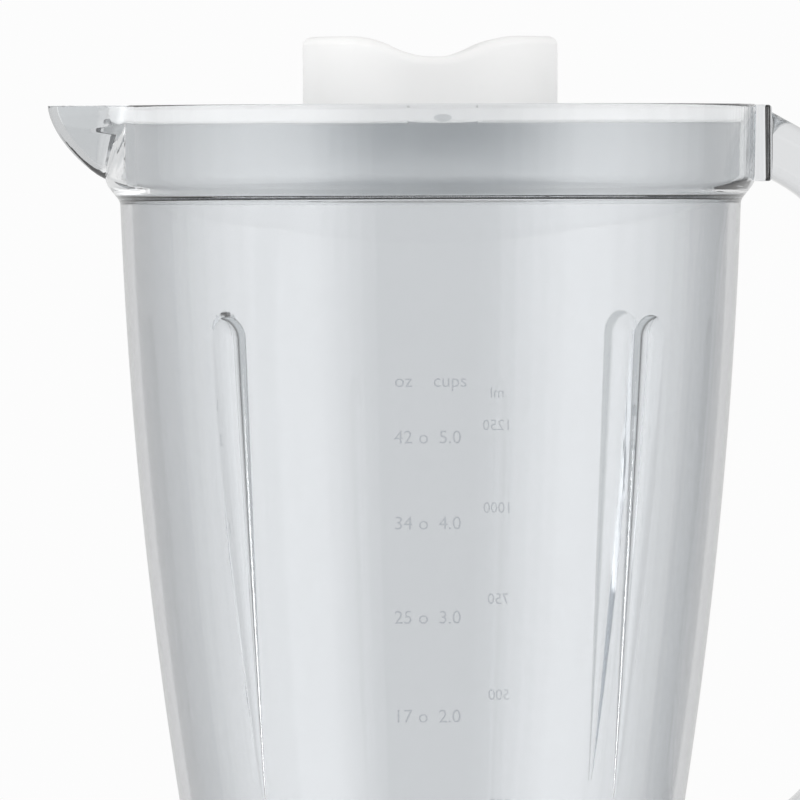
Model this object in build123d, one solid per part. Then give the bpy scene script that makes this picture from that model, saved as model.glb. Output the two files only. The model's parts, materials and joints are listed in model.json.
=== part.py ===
from build123d import *

import os
from math import asin, cos, degrees, hypot, radians, sin, sqrt, tan

# Countertop blender: a clear jar with a plug-in lid and filler cap, standing on a round motor base.
# Every piece is modelled about the drive axis, with Z up and Z = 0 on the counter, in millimetres.
# At the end all pieces move together, so that the origin lies under the middle of the whole object.

# Where the drive axis stands, so that the origin is under the middle of the whole object
DRIVE_AXIS_X = -9.4
DRIVE_AXIS_Y = 3.6

# Fits
TOUCH = 0.05  # radial room in a push fit
RUNNING = 0.05  # radial room round a turning shaft
SLIP = 0.3  # room between pieces that lift apart
OVERCUT = 1.0  # how far a cutting solid runs past the face it cuts
BETWEEN_AXES = 45.0  # where a ring of four starts, when it stands between the X and Y axes

# Motor base
BASE_RADIUS = 92.0
BASE_TOP_RADIUS = 63.0
BASE_HEIGHT = 157.0
BASE_SKIRT_HEIGHT = 26.0
BASE_WAIST = 4.0  # how far the side is drawn in at mid height
BASE_WALL = 2.8
BASE_CLEARANCE = 4.0  # under the lower edge
BASE_CREASE_ROUND = 40.0
COVER_THICKNESS = 3.0
COVER_RECESS = 2.0
COVER_VENTS = 16
VENT_WIDTH = 3.0
VENT_LENGTH = 22.0
VENT_RING_RADIUS = 42.0
FOOT_RADIUS = 9.0
FOOT_INSET = 22.0  # from the base's outer edge to the middle of a foot
FOOT_EDGE_ROUND = 1.0
FOOT_STEM_RADIUS = 3.0
FOOT_BARB = 1.2
BOSS_COUNT = 4
BOSS_RADIUS = 5.0
BOSS_INSET = 16.0  # from the base's outer edge to the middle of a boss
BOSS_HEIGHT = 60.0
COVER_SCREW_RADIUS = 1.8
COVER_SCREW_LENGTH = 16.0
COVER_SCREW_END_GAP = 1.0
SCREW_HEAD_RADIUS = 3.6
SCREW_HEAD_HEIGHT = 2.4
SCREW_SLOT_WIDTH = 1.0
SCREW_SLOT_SHARE = 0.7  # of the head's width

# Jar seat on top of the base
DECK_THICKNESS = 5.0
DECK_RIM_HEIGHT = 10.0
DECK_RIM_WIDTH = 4.5
DECK_SKIRT_DEPTH = 7.0
DECK_SKIRT_WALL = 3.0
DECK_LIP_HEIGHT = 1.2
DECK_RIM_FLARE = 1.5
SHAFT_OPENING_RADIUS = 12.0
SHAFT_SEAL_WALL = 2.5
SHAFT_SEAL_LIP = 2.0
SEAT_LUGS = 4
SEAT_LUG_DEPTH = 2.4
SEAT_LUG_WIDTH = 8.0
POST_COUNT = 4
POST_RADIUS = 5.0
POST_RING_RADIUS = 46.0

# Motor, stacked upwards from its lower bracket
SHAFT_RADIUS = 4.0
SHAFT_END_ROOM = 1.0  # shaft's lower end above the lower bearing's underside
SHAFT_CHAMFER = 0.5
BEARING_RADIUS = 11.0
BEARING_HEIGHT = 7.0
BEARING_RACE = 2.0
BEARING_SHIELD_DEPTH = 0.6
BRACKET_THICKNESS = 3.0
BRACKET_RADIUS = 53.0
LOWER_BRACKET_RADIUS = 52.0
BRACKET_CUP_WALL = 3.0
BRACKET_WINDOWS = 4
BRACKET_WINDOW = 8.0  # radius of each air hole
BRACKET_WINDOW_RING = 26.0
DAMPER_HEIGHT = 7.0
DAMPER_RADIUS = 7.0
MOTOR_SCREW_RADIUS = 1.9
MOTOR_SCREW_GRIP = 10.0
LOWER_BRACKET_LIFT = 19.0  # above the bottom cover
CORE_HEIGHT = 36.0
CORE_LENGTH_X = 80.0
CORE_LENGTH_Y = 66.0
CORE_CORNER = 8.0
ARMATURE_RADIUS = 22.0
AIR_GAP = 0.6
ARMATURE_SLOTS = 12
SLOT_WIDTH = 3.0
SLOT_DEPTH = 7.0
WINDING_RADIUS = 19.5
WINDING_HEIGHT = 6.0
COIL_IN_X = 24.0
COIL_OUT_X = 32.0
COIL_IN_Y = 17.0
COIL_OUT_Y = 28.0
COIL_OVERHANG = 8.0
COMMUTATOR_RADIUS = 12.0
COMMUTATOR_HEIGHT = 14.0
COMMUTATOR_LIFT = 3.0  # above the lower bracket
COMMUTATOR_GAP = 2.0  # from the commutator to the winding
COMMUTATOR_BARS = 24
BAR_GAP = 0.6
BAR_GAP_DEPTH = 1.2
BOLT_X = 35.5
BOLT_Y = 28.5
BOLT_RADIUS = 2.0
BOLT_HEAD_RADIUS = 3.8
BOLT_HEAD_HEIGHT = 3.0
BOLT_END = 1.0  # beyond its nut
SPACER_RADIUS = 3.4
BRUSH_WIDTH = 6.0
BRUSH_HEIGHT = 8.0
BRUSH_LENGTH = 10.0
SPRING_LEAF = 0.5
HOLDER_WALL = 2.5
HOLDER_REACH = 30.0
HOLDER_GAP = 1.5  # to the commutator
FAN_GAP = 3.0  # above the field coils
FAN_HEADROOM = 7.0  # under the upper bracket
FAN_RADIUS = 38.0
FAN_HEIGHT = 8.0
FAN_PLATE = 1.6
FAN_BLADES = 9
FAN_BLADE_THICKNESS = 1.4
FAN_HUB_RADIUS = 9.0

# Dog clutch between the motor and the blades
CLUTCH_RADIUS = 17.0
CLUTCH_BORE_RADIUS = 8.0
CLUTCH_TEETH = 6
CLUTCH_TOOTH_ANGLE = 27.0
CLUTCH_TOOTH_HEIGHT = 6.0
CLUTCH_PLATE = 5.0
CLUTCH_GAP = 0.6
CLUTCH_LIFT = 2.0  # clutch plate above the deck

# Speed control
KNOB_HEIGHT_Z = 66.0
KNOB_RADIUS = 20.0
KNOB_DEPTH = 15.0
KNOB_TAPER = 1.5
KNOB_WALL = 2.5
KNOB_GRIP_WIDTH = 9.0
KNOB_GRIP_HEIGHT = 6.0
KNOB_GAP = 0.8
PANEL_RADIUS = 27.0
PANEL_PROUD = 3.0
PANEL_THICKNESS = 3.0
SWITCH_SIDE = 30.0
SWITCH_DEPTH = 18.0
SWITCH_CORNER = 3.0
SWITCH_TAG_WIDTH = 4.0
SWITCH_TAG_THICKNESS = 0.8
SWITCH_TAG_LENGTH = 6.0
SWITCH_NECK_RADIUS = 4.8
SWITCH_NECK_LENGTH = 7.0
SWITCH_SHAFT_RADIUS = 3.0
SWITCH_NUT_ACROSS = 13.0
SWITCH_NUT_HEIGHT = 2.6

# Cord entry at the back, for a lead of about 7 mm
GLAND_Z = 18.0
GLAND_BORE_RADIUS = 3.7
GLAND_BODY_RADIUS = 6.0
GLAND_FLANGE_RADIUS = 8.0
GLAND_FLANGE_THICKNESS = 2.0
GLAND_INNER_LENGTH = 8.0
GLAND_WALL_GAP = 1.5  # from the inner collar to the housing's wall

# Jar collar, the opaque foot that the jar stands in
COLLAR_FOOT_RADIUS = 53.0
COLLAR_TOP_RADIUS = 55.8
COLLAR_HEIGHT = 47.0
COLLAR_WALL = 3.0
COLLAR_WEB_Z = 17.0  # above the collar's foot
COLLAR_WEB_THICKNESS = 3.0
COLLAR_WEB_HOLE_RADIUS = 36.0
COLLAR_SCREWS = 4
COLLAR_SCREW_RADIUS = 1.5
COLLAR_SCREW_LENGTH = 10.0
COLLAR_SCREW_HEAD_RADIUS = 2.9

# Jar
JAR_WALL = 2.6
JAR_WALL_TOP_RADIUS = 70.7
JAR_WALL_FOOT_RADIUS = 49.9
JAR_WALL_BOW = 3.57  # how far the side swells out from a straight cone
JAR_DEPTH = 198.0  # rim to inner floor
JAR_FLOOR = 4.0
JAR_FLOOR_ROUND = 9.0
JAR_NECK_HEIGHT = 12.0
JAR_NECK_RADIUS = 45.0
JAR_NECK_WALL = 5.0
MOUTH_RADIUS = 74.5
MOUTH_WALL = 3.0
MOUTH_HEIGHT = 17.6
MOUTH_SHOULDER = 4.2
MOUTH_LEDGE_DEPTH = 20.5
MOUTH_DRAFT = 0.4
RIM_ROUND = 0.8
SHOULDER_ROUND = 2.5
RIB_ANGLE = 46.5  # of each rib from the plane through spout and handle
RIB_TOP_DEPTH = 51.0
RIB_FOOT_DEPTH = 156.0
RIB_TOP_RADIUS = 3.8
RIB_FOOT_RADIUS = 0.4

# Pouring spout, on the side away from the handle
SPOUT_REACH = 87.2
SPOUT_DEPTH = 17.0
SPOUT_FLARE = 1.37  # half width gained per unit of reach
SPOUT_TIP_ROUND = 5.0
SPOUT_ROOT_X = 60.0  # where its outline is cut off, inside the mouth
SPOUT_TOP_BOW = 1.7
SPOUT_FOOT_BOW = 0.85
SPOUT_SECTIONS = 6

# Handle
HANDLE_THICKNESS = 14.2
HANDLE_WIDTH = 22.0
HANDLE_CORNER = 6.0
HANDLE_ROOT_DEPTH = 9.6
HANDLE_ROOT_ANGLE = 26.0
HANDLE_TOP_BEND = 46.2
HANDLE_GRIP_LENGTH = 71.2
HANDLE_LOWER_BEND = 60.0
HANDLE_LOWER_ANGLE = 38.0
HANDLE_FOOT_BEND = 30.0
HANDLE_FOOT_ANGLE = 37.0
PAD_PROUD = 2.9  # upper handle pad beyond the mouth band
LOWER_PAD_REACH = 58.0

# Lid and its seal
LID_PLATE = 3.0
LID_WALL = 2.4
LID_SIDE_GAP = 0.8
LID_NECK_RADIUS = 25.5
LID_NECK_WALL = 2.4
LID_NECK_DEPTH = 12.0
SEAL_HEIGHT = 3.9
SEAL_TOP_GAP = 0.5
SEAL_GROOVE = 2.2
LID_LUG_WIDTH = 15.0

# Filler cap
CAP_RADIUS = 29.0
CAP_HEIGHT = 15.5
CAP_DIP = 4.7
CAP_DIP_HALF_WIDTH = 19.0
CAP_EDGE_ROUND = 2.0
CAP_WALL = 2.4
CAP_PLUG_DEPTH = 13.0

# Blade unit
HOLDER_FLANGE_RADIUS = 27.0
HOLDER_FLANGE_HEIGHT = 3.5
HOLDER_STEM_RADIUS = 17.0
HOLDER_CROWN_RADIUS = 12.0
HOLDER_CROWN_HEIGHT = 7.0
HOLDER_STEM_DROP = 11.0  # below the jar's floor
SEAL_RING_HEIGHT = 1.5
HOLDER_NUT_ACROSS = 44.0
HOLDER_NUT_HEIGHT = 5.0
BUSH_RADIUS = 7.0
BUSH_HEIGHT = 8.0
BLADE_SHAFT_RADIUS = 3.5
BLADE_LENGTH = 29.0
BLADE_WIDTH = 13.0
BLADE_TIP_WIDTH = 4.4
BLADE_THICKNESS = 1.5
BLADE_EDGE = 0.9  # ground off the wing's edge
UPPER_BLADE_ANGLE = 32.0  # of the raised wings
LOWER_BLADE_ANGLE = 14.0  # of the lowered wings
UPPER_BLADE_TURN_ANGLE = 90.0
BLADE_FLAT = 9.0
SPACER_HEIGHT = 3.0
BLADE_NUT_ACROSS = 11.0
BLADE_NUT_HEIGHT = 4.0
BLADE_NUT_DOME_RADIUS = 5.0

# Heights along the drive axis
HOUSING_FOOT_Z = BASE_CLEARANCE
COVER_Z = HOUSING_FOOT_Z + COVER_RECESS
COVER_TOP_Z = COVER_Z + COVER_THICKNESS
SEAT_Z = BASE_HEIGHT + DECK_THICKNESS
DECK_RIM_Z = SEAT_Z + DECK_RIM_HEIGHT
LOWER_BRACKET_Z = COVER_TOP_Z + LOWER_BRACKET_LIFT
LOWER_BRACKET_TOP_Z = LOWER_BRACKET_Z + BRACKET_THICKNESS
SHAFT_FOOT_Z = LOWER_BRACKET_Z - BEARING_HEIGHT + SHAFT_END_ROOM
COMMUTATOR_Z = LOWER_BRACKET_TOP_Z + COMMUTATOR_LIFT
CORE_Z = COMMUTATOR_Z + COMMUTATOR_HEIGHT + COMMUTATOR_GAP + WINDING_HEIGHT
CORE_TOP_Z = CORE_Z + CORE_HEIGHT
FAN_Z = CORE_TOP_Z + COIL_OVERHANG + FAN_GAP
UPPER_BRACKET_Z = FAN_Z + FAN_HEIGHT + FAN_HEADROOM
UPPER_BRACKET_TOP_Z = UPPER_BRACKET_Z + BRACKET_THICKNESS
POST_FOOT_Z = UPPER_BRACKET_TOP_Z + DAMPER_HEIGHT
CLUTCH_Z = SEAT_Z + CLUTCH_LIFT
CLUTCH_TEETH_Z = CLUTCH_Z + CLUTCH_PLATE
DRIVEN_TEETH_Z = CLUTCH_TEETH_Z + CLUTCH_GAP
DRIVEN_PLATE_Z = DRIVEN_TEETH_Z + CLUTCH_TOOTH_HEIGHT
COLLAR_TOP_Z = SEAT_Z + COLLAR_HEIGHT
NECK_FOOT_Z = SEAT_Z + COLLAR_WEB_Z + COLLAR_WEB_THICKNESS
FLOOR_UNDER_Z = NECK_FOOT_Z + JAR_NECK_HEIGHT
FLOOR_Z = FLOOR_UNDER_Z + JAR_FLOOR
RIM_Z = FLOOR_Z + JAR_DEPTH
LEDGE_Z = RIM_Z - MOUTH_LEDGE_DEPTH
SHOULDER_TOP_Z = RIM_Z - MOUTH_HEIGHT
SHOULDER_FOOT_Z = SHOULDER_TOP_Z - MOUTH_SHOULDER
MOUTH_INNER_RADIUS = MOUTH_RADIUS - MOUTH_WALL
PAD_X = MOUTH_RADIUS + PAD_PROUD
FLANGE_Z = FLOOR_Z + SEAL_RING_HEIGHT
FLANGE_TOP_Z = FLANGE_Z + HOLDER_FLANGE_HEIGHT
CROWN_TOP_Z = FLANGE_TOP_Z + HOLDER_CROWN_HEIGHT
STEM_FOOT_Z = FLOOR_UNDER_Z - HOLDER_STEM_DROP
BLADE_Z = CROWN_TOP_Z + SPACER_HEIGHT
BLADE_STACK_Z = BLADE_Z + 2 * BLADE_THICKNESS
DECK_RIM_INNER_RADIUS = COLLAR_FOOT_RADIUS + SLIP
DECK_RIM_OUTER_RADIUS = DECK_RIM_INNER_RADIUS + DECK_RIM_WIDTH
DECK_SKIRT_RADIUS = BASE_TOP_RADIUS - 2 * BASE_WALL
FOOT_RING_RADIUS = BASE_RADIUS - FOOT_INSET
BOSS_RING_RADIUS = BASE_RADIUS - BOSS_INSET
FOOT_NAMES = ("foot_right", "foot_back", "foot_left", "foot_front")


def disc(radius, low, high):
    """A round solid on the drive axis between two heights."""
    return Pos(0, 0, low) * Cylinder(radius, high - low, align=(Align.CENTER, Align.CENTER, Align.MIN))


def cone(low_radius, high_radius, low, high):
    """A tapered round solid on the drive axis between two heights."""
    solid = Cone(low_radius, high_radius, high - low, align=(Align.CENTER, Align.CENTER, Align.MIN))
    return Pos(0, 0, low) * solid


def tube(outer, inner, low, high):
    """A ring on the drive axis between two heights."""
    return disc(outer, low, high) - disc(inner, low - OVERCUT, high + OVERCUT)


def block(x_low, x_high, y_low, y_high, z_low, z_high):
    """A box given by its two corners."""
    size = (x_high - x_low, y_high - y_low, z_high - z_low)
    middle = ((x_low + x_high) / 2, (y_low + y_high) / 2, (z_low + z_high) / 2)
    return Pos(*middle) * Box(*size)


def around(count, ring_radius, first_angle=0.0):
    """Places on a ring round the drive axis, each turned to face outwards."""
    step = 360.0 / count
    return [Rot(0, 0, first_angle + step * n) * Pos(ring_radius, 0, 0) for n in range(count)]


def turned(*edges):
    """The solid turned by an outline that lies in the XZ plane, closed along the axis."""
    outline = Curve() + list(edges)
    return revolve(Plane.XZ * make_face(outline.edges()), Axis.Z)


def rounded_turn(face, rounds):
    """Rounds chosen corners of an outline, then turns it round the axis."""
    for place, radius in rounds:
        corner = min(face.vertices(), key=lambda v: hypot(v.X - place[0], v.Y - place[1]))
        face = fillet([corner], radius)
    return revolve(Plane.XZ * face, Axis.Z)


def hexagon(across_flats, low, high):
    """A hexagonal prism on the drive axis."""
    corner_radius = across_flats / sqrt(3)
    return Pos(0, 0, low) * extrude(RegularPolygon(corner_radius, 6), high - low)


# The base's side: a vertical skirt, then one drawn-in arc up to the top.
def base_side(inset):
    """Outline edges of the base's side, moved in by the inset."""
    skirt = (BASE_RADIUS - inset, BASE_SKIRT_HEIGHT)
    top = (BASE_TOP_RADIUS - inset, BASE_HEIGHT)
    chord = hypot(skirt[0] - top[0], top[1] - skirt[1])
    out_x, out_z = (top[1] - skirt[1]) / chord, (skirt[0] - top[0]) / chord
    middle = ((skirt[0] + top[0]) / 2 - BASE_WAIST * out_x, (skirt[1] + top[1]) / 2 - BASE_WAIST * out_z)
    return skirt, middle, top


def base_body(inset, low, high):
    """The base's turned body between two heights, moved in by the inset."""
    skirt, middle, top = base_side(inset)
    outline = Polyline((0, top[1]), (0, low), (skirt[0], low), skirt) + ThreePointArc(skirt, middle, top)
    face = make_face((outline + Line(top, (0, top[1]))).edges())
    return rounded_turn(face, [(skirt, BASE_CREASE_ROUND)]) & disc(2 * BASE_RADIUS, low, high)


def base_surface_at(height):
    """Radius of the base's side at a height, and how far it leans back there in degrees."""
    skirt, middle, top = base_side(0)
    arc = ThreePointArc(skirt, middle, top)
    centre = arc.arc_center
    rise = centre.Y - height
    return centre.X - sqrt(arc.radius**2 - rise**2), degrees(asin(rise / arc.radius))


PANEL_SURFACE_RADIUS, PANEL_LEAN = base_surface_at(KNOB_HEIGHT_Z)
PANEL_OUT = (0, -cos(radians(PANEL_LEAN)), sin(radians(PANEL_LEAN)))
PANEL_PLANE = Plane(
    origin=(
        0,
        -PANEL_SURFACE_RADIUS + PANEL_PROUD * PANEL_OUT[1],
        KNOB_HEIGHT_Z + PANEL_PROUD * PANEL_OUT[2],
    ),
    x_dir=(1, 0, 0),
    z_dir=PANEL_OUT,
)


def on_panel(shape):
    """A shape made round Z and lifted from 0, set on the control panel's face."""
    return PANEL_PLANE * shape


def boss_places():
    """Where the screw bosses for the bottom cover stand."""
    return around(BOSS_COUNT, BOSS_RING_RADIUS, BETWEEN_AXES)


def make_housing():
    """Outer shell of the base, with its control panel and screw bosses."""
    outer = base_body(0, HOUSING_FOOT_Z, BASE_HEIGHT)
    ends = outer.edges().filter_by(GeomType.CIRCLE).group_by(Axis.Z)
    outer = fillet(ends[-1], BASE_WALL / 2)
    ends = outer.edges().filter_by(GeomType.CIRCLE).group_by(Axis.Z)
    outer = fillet(ends[0], BASE_WALL / 2)
    inner = base_body(BASE_WALL, HOUSING_FOOT_Z - OVERCUT, BASE_HEIGHT - BASE_WALL)
    panel_depth = 3 * PANEL_THICKNESS + PANEL_PROUD
    plug = on_panel(disc(PANEL_RADIUS, -panel_depth, 0))
    plug = fillet(plug.edges().filter_by(GeomType.CIRCLE).sort_by(Axis.Y)[:1], PANEL_THICKNESS / 2)
    pocket = on_panel(disc(PANEL_RADIUS - PANEL_THICKNESS, -4 * panel_depth, -PANEL_THICKNESS))
    shell = (outer + plug) - inner - (pocket & (inner + plug))
    shell -= on_panel(disc(SWITCH_NECK_RADIUS + TOUCH, -panel_depth, OVERCUT))
    shell -= disc(DECK_SKIRT_RADIUS + TOUCH, BASE_HEIGHT - 2 * BASE_WALL, BASE_HEIGHT + OVERCUT)
    boss_top = COVER_TOP_Z + BOSS_HEIGHT
    boss = disc(BOSS_RADIUS, COVER_TOP_Z, boss_top)
    boss += block(0, BASE_RADIUS, -BASE_WALL / 2, BASE_WALL / 2, COVER_TOP_Z, boss_top)
    room = base_body(BASE_WALL / 2, HOUSING_FOOT_Z, BASE_HEIGHT - BASE_WALL)
    for place in boss_places():
        shell += (place * boss) & room
    for place in boss_places():
        shell -= place * disc(COVER_SCREW_RADIUS + TOUCH, 0, COVER_TOP_Z + COVER_SCREW_LENGTH)
    gland_hole = Cylinder(GLAND_BODY_RADIUS + TOUCH, 4 * BASE_WALL)
    return shell - Pos(0, BASE_RADIUS, GLAND_Z) * Rot(90, 0, 0) * gland_hole


def make_bottom_cover():
    """Vented plate that closes the base from below."""
    plate = disc(BASE_RADIUS - BASE_WALL - SLIP, COVER_Z, COVER_TOP_Z)
    slot = extrude(SlotOverall(VENT_LENGTH, VENT_WIDTH), COVER_TOP_Z + OVERCUT)
    for place in around(COVER_VENTS, VENT_RING_RADIUS):
        plate -= place * slot
    for place in around(len(FOOT_NAMES), FOOT_RING_RADIUS):
        plate -= place * disc(FOOT_STEM_RADIUS + TOUCH, 0, COVER_TOP_Z + OVERCUT)
    for place in boss_places():
        plate -= place * disc(COVER_SCREW_RADIUS + TOUCH, 0, COVER_TOP_Z + OVERCUT)
    return plate


def make_foot(place):
    """Rubber foot, pushed through the cover on a barbed stem."""
    pad = disc(FOOT_RADIUS, 0, COVER_Z)
    pad = fillet(pad.edges().filter_by(GeomType.CIRCLE).group_by(Axis.Z)[0], FOOT_EDGE_ROUND)
    stem = disc(FOOT_STEM_RADIUS, COVER_Z, COVER_TOP_Z + FOOT_BARB)
    barb = disc(FOOT_STEM_RADIUS + FOOT_BARB, COVER_TOP_Z, COVER_TOP_Z + FOOT_BARB)
    return place * (pad + stem + barb)


def screw(radius, head_radius, head_height, length):
    """A pan-head screw that points up, with the underside of its head at 0."""
    body = disc(radius, 0, length) + disc(head_radius, -head_height, 0)
    reach = head_radius * SCREW_SLOT_SHARE
    half = SCREW_SLOT_WIDTH / 2
    return body - block(-reach, reach, -half, half, -2 * head_height, -head_height / 2)


def make_cover_screws():
    """Screws that hold the bottom cover to the housing."""
    length = COVER_THICKNESS + COVER_SCREW_LENGTH - COVER_SCREW_END_GAP
    one = Pos(0, 0, COVER_Z) * screw(COVER_SCREW_RADIUS, SCREW_HEAD_RADIUS, SCREW_HEAD_HEIGHT, length)
    return Compound([place * one for place in boss_places()])


def post_places():
    """Where the posts that carry the motor hang from the deck."""
    return around(POST_COUNT, POST_RING_RADIUS)


def make_deck():
    """Jar seat that closes the base from above and carries the motor on four posts."""
    rim_outer = DECK_RIM_OUTER_RADIUS
    shoulder = rim_outer + DECK_RIM_FLARE
    edge = BASE_TOP_RADIUS - BASE_WALL / 2
    skirt_inner = DECK_SKIRT_RADIUS - DECK_SKIRT_WALL
    deck = turned(
        Line((0, BASE_HEIGHT), (edge, BASE_HEIGHT)),
        Line((edge, BASE_HEIGHT), (shoulder, SEAT_Z)),
        Line((shoulder, SEAT_Z), (rim_outer, DECK_RIM_Z)),
        Line((rim_outer, DECK_RIM_Z), (DECK_RIM_INNER_RADIUS, DECK_RIM_Z)),
        Line((DECK_RIM_INNER_RADIUS, DECK_RIM_Z), (DECK_RIM_INNER_RADIUS, SEAT_Z)),
        Line((DECK_RIM_INNER_RADIUS, SEAT_Z), (0, SEAT_Z)),
        Line((0, SEAT_Z), (0, BASE_HEIGHT)),
    )
    rim_edges = deck.edges().filter_by(GeomType.CIRCLE).group_by(Axis.Z)[-1]
    deck = fillet(rim_edges, DECK_RIM_WIDTH / 3)
    deck += tube(DECK_SKIRT_RADIUS, skirt_inner, BASE_HEIGHT - DECK_SKIRT_DEPTH, BASE_HEIGHT)
    deck += disc(SHAFT_OPENING_RADIUS + DECK_SKIRT_WALL, SEAT_Z, SEAT_Z + DECK_LIP_HEIGHT)
    lug = block(
        DECK_RIM_INNER_RADIUS - SEAT_LUG_DEPTH, DECK_RIM_INNER_RADIUS + SLIP,
        -SEAT_LUG_WIDTH / 2, SEAT_LUG_WIDTH / 2,
        SEAT_Z - OVERCUT, DECK_RIM_Z - DECK_RIM_WIDTH / 2,
    )
    for place in around(SEAT_LUGS, 0, BETWEEN_AXES):
        deck += place * lug
    for place in post_places():
        deck += place * disc(POST_RADIUS, POST_FOOT_Z, BASE_HEIGHT + OVERCUT)
    for place in post_places():
        deck -= place * disc(MOTOR_SCREW_RADIUS + TOUCH, 0, POST_FOOT_Z + MOTOR_SCREW_GRIP + OVERCUT)
    return deck - disc(SHAFT_OPENING_RADIUS, BASE_HEIGHT - OVERCUT, DECK_RIM_Z)


def make_shaft_seal():
    """Rubber lip seal that keeps spills out of the motor."""
    ring = tube(SHAFT_OPENING_RADIUS - TOUCH, SHAFT_RADIUS + SLIP, BASE_HEIGHT, SEAT_Z)
    outer, inner = SHAFT_OPENING_RADIUS - SHAFT_SEAL_WALL, SHAFT_RADIUS + SHAFT_SEAL_LIP
    return ring - tube(outer, inner, BASE_HEIGHT + SHAFT_SEAL_LIP, SEAT_Z + OVERCUT)


def bearing_cup(low, high):
    """Solid that holds a bearing on the drive axis."""
    return disc(BEARING_RADIUS + BRACKET_CUP_WALL, low, high)


def bolt_places():
    """Where the four long motor bolts stand."""
    return [Pos(x, y, 0) for x in (-BOLT_X, BOLT_X) for y in (-BOLT_Y, BOLT_Y)]


def make_upper_bracket():
    """Upper end plate of the motor, with its bearing cup and spacer columns."""
    plate = disc(BRACKET_RADIUS, UPPER_BRACKET_Z, UPPER_BRACKET_TOP_Z)
    plate += bearing_cup(UPPER_BRACKET_Z, UPPER_BRACKET_Z + BEARING_HEIGHT + BRACKET_CUP_WALL)
    for place in bolt_places():
        plate += place * disc(SPACER_RADIUS, CORE_TOP_Z, UPPER_BRACKET_Z + OVERCUT)
    for place in around(BRACKET_WINDOWS, BRACKET_WINDOW_RING, BETWEEN_AXES):
        plate -= place * disc(BRACKET_WINDOW, 0, BASE_HEIGHT)
    for place in post_places():
        plate -= place * disc(MOTOR_SCREW_RADIUS + SLIP, 0, BASE_HEIGHT)
    for place in bolt_places():
        plate -= place * disc(BOLT_RADIUS + TOUCH, 0, BASE_HEIGHT)
    plate -= disc(BEARING_RADIUS + TOUCH, UPPER_BRACKET_Z - OVERCUT, UPPER_BRACKET_Z + BEARING_HEIGHT)
    return plate - disc(SHAFT_RADIUS + SLIP, 0, BASE_HEIGHT)


def make_lower_bracket():
    """Lower end plate of the motor, with its bearing cup and spacer columns."""
    plate = disc(LOWER_BRACKET_RADIUS, LOWER_BRACKET_Z, LOWER_BRACKET_TOP_Z)
    cup_foot = LOWER_BRACKET_Z - BEARING_HEIGHT - BRACKET_CUP_WALL
    plate += bearing_cup(cup_foot, LOWER_BRACKET_Z + OVERCUT)
    for place in bolt_places():
        plate += place * disc(SPACER_RADIUS, LOWER_BRACKET_Z, CORE_Z)
    for place in around(BRACKET_WINDOWS, BRACKET_WINDOW_RING, BETWEEN_AXES):
        plate -= place * disc(BRACKET_WINDOW, 0, BASE_HEIGHT)
    for place in bolt_places():
        plate -= place * disc(BOLT_RADIUS + TOUCH, 0, BASE_HEIGHT)
    return plate - disc(BEARING_RADIUS + TOUCH, LOWER_BRACKET_Z - BEARING_HEIGHT, BASE_HEIGHT)


def make_bearing(low):
    """Shaft bearing, drawn as one sealed ring."""
    top = low + BEARING_HEIGHT
    ring = tube(BEARING_RADIUS, SHAFT_RADIUS + RUNNING, low, top)
    outer, inner = BEARING_RADIUS - BEARING_RACE, SHAFT_RADIUS + BEARING_RACE
    return ring - tube(outer, inner, top - BEARING_SHIELD_DEPTH, top + OVERCUT)


def make_motor_dampers():
    """Rubber rings between the motor and the deck's posts."""
    one = tube(DAMPER_RADIUS, MOTOR_SCREW_RADIUS + SLIP, UPPER_BRACKET_TOP_Z, POST_FOOT_Z)
    return Compound([place * one for place in post_places()])


def make_motor_screws():
    """Screws that hang the motor from the deck's posts."""
    length = BRACKET_THICKNESS + DAMPER_HEIGHT + MOTOR_SCREW_GRIP
    one = screw(MOTOR_SCREW_RADIUS, SCREW_HEAD_RADIUS, SCREW_HEAD_HEIGHT, length)
    one = Pos(0, 0, UPPER_BRACKET_Z) * one
    return Compound([place * one for place in post_places()])


def make_stator_core():
    """Laminated stator with two poles and four coil windows."""
    lamination = RectangleRounded(CORE_LENGTH_X, CORE_LENGTH_Y, CORE_CORNER)
    core = Pos(0, 0, CORE_Z) * extrude(lamination, CORE_HEIGHT)
    core -= disc(ARMATURE_RADIUS + AIR_GAP, 0, BASE_HEIGHT)
    for x_low, x_high in ((COIL_IN_X, COIL_OUT_X), (-COIL_OUT_X, -COIL_IN_X)):
        for y_low, y_high in ((COIL_IN_Y, COIL_OUT_Y), (-COIL_OUT_Y, -COIL_IN_Y)):
            core -= block(x_low, x_high, y_low, y_high, 0, BASE_HEIGHT)
    for place in bolt_places():
        core -= place * disc(BOLT_RADIUS + TOUCH, 0, BASE_HEIGHT)
    return core


def make_field_coils():
    """Two wound field coils, one round each pole."""
    room = SLIP
    outer = block(
        COIL_IN_X + room, COIL_OUT_X - room, -COIL_OUT_Y + room, COIL_OUT_Y - room,
        CORE_Z - COIL_OVERHANG, CORE_TOP_Z + COIL_OVERHANG,
    )
    outer = fillet(outer.edges().filter_by(Axis.X), COIL_OVERHANG / 2)
    hole = block(
        0, 2 * COIL_OUT_X, -COIL_IN_Y - room, COIL_IN_Y + room, CORE_Z - room, CORE_TOP_Z + room,
    )
    coil = outer - hole
    return Compound([coil, Rot(0, 0, 180) * coil])


def make_stator_bolts():
    """Long bolts that clamp both brackets onto the stator."""
    length = UPPER_BRACKET_TOP_Z - LOWER_BRACKET_Z + BOLT_HEAD_HEIGHT + BOLT_END
    one = Pos(0, 0, LOWER_BRACKET_Z) * screw(BOLT_RADIUS, BOLT_HEAD_RADIUS, BOLT_HEAD_HEIGHT, length)
    return Compound([place * one for place in bolt_places()])


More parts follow.
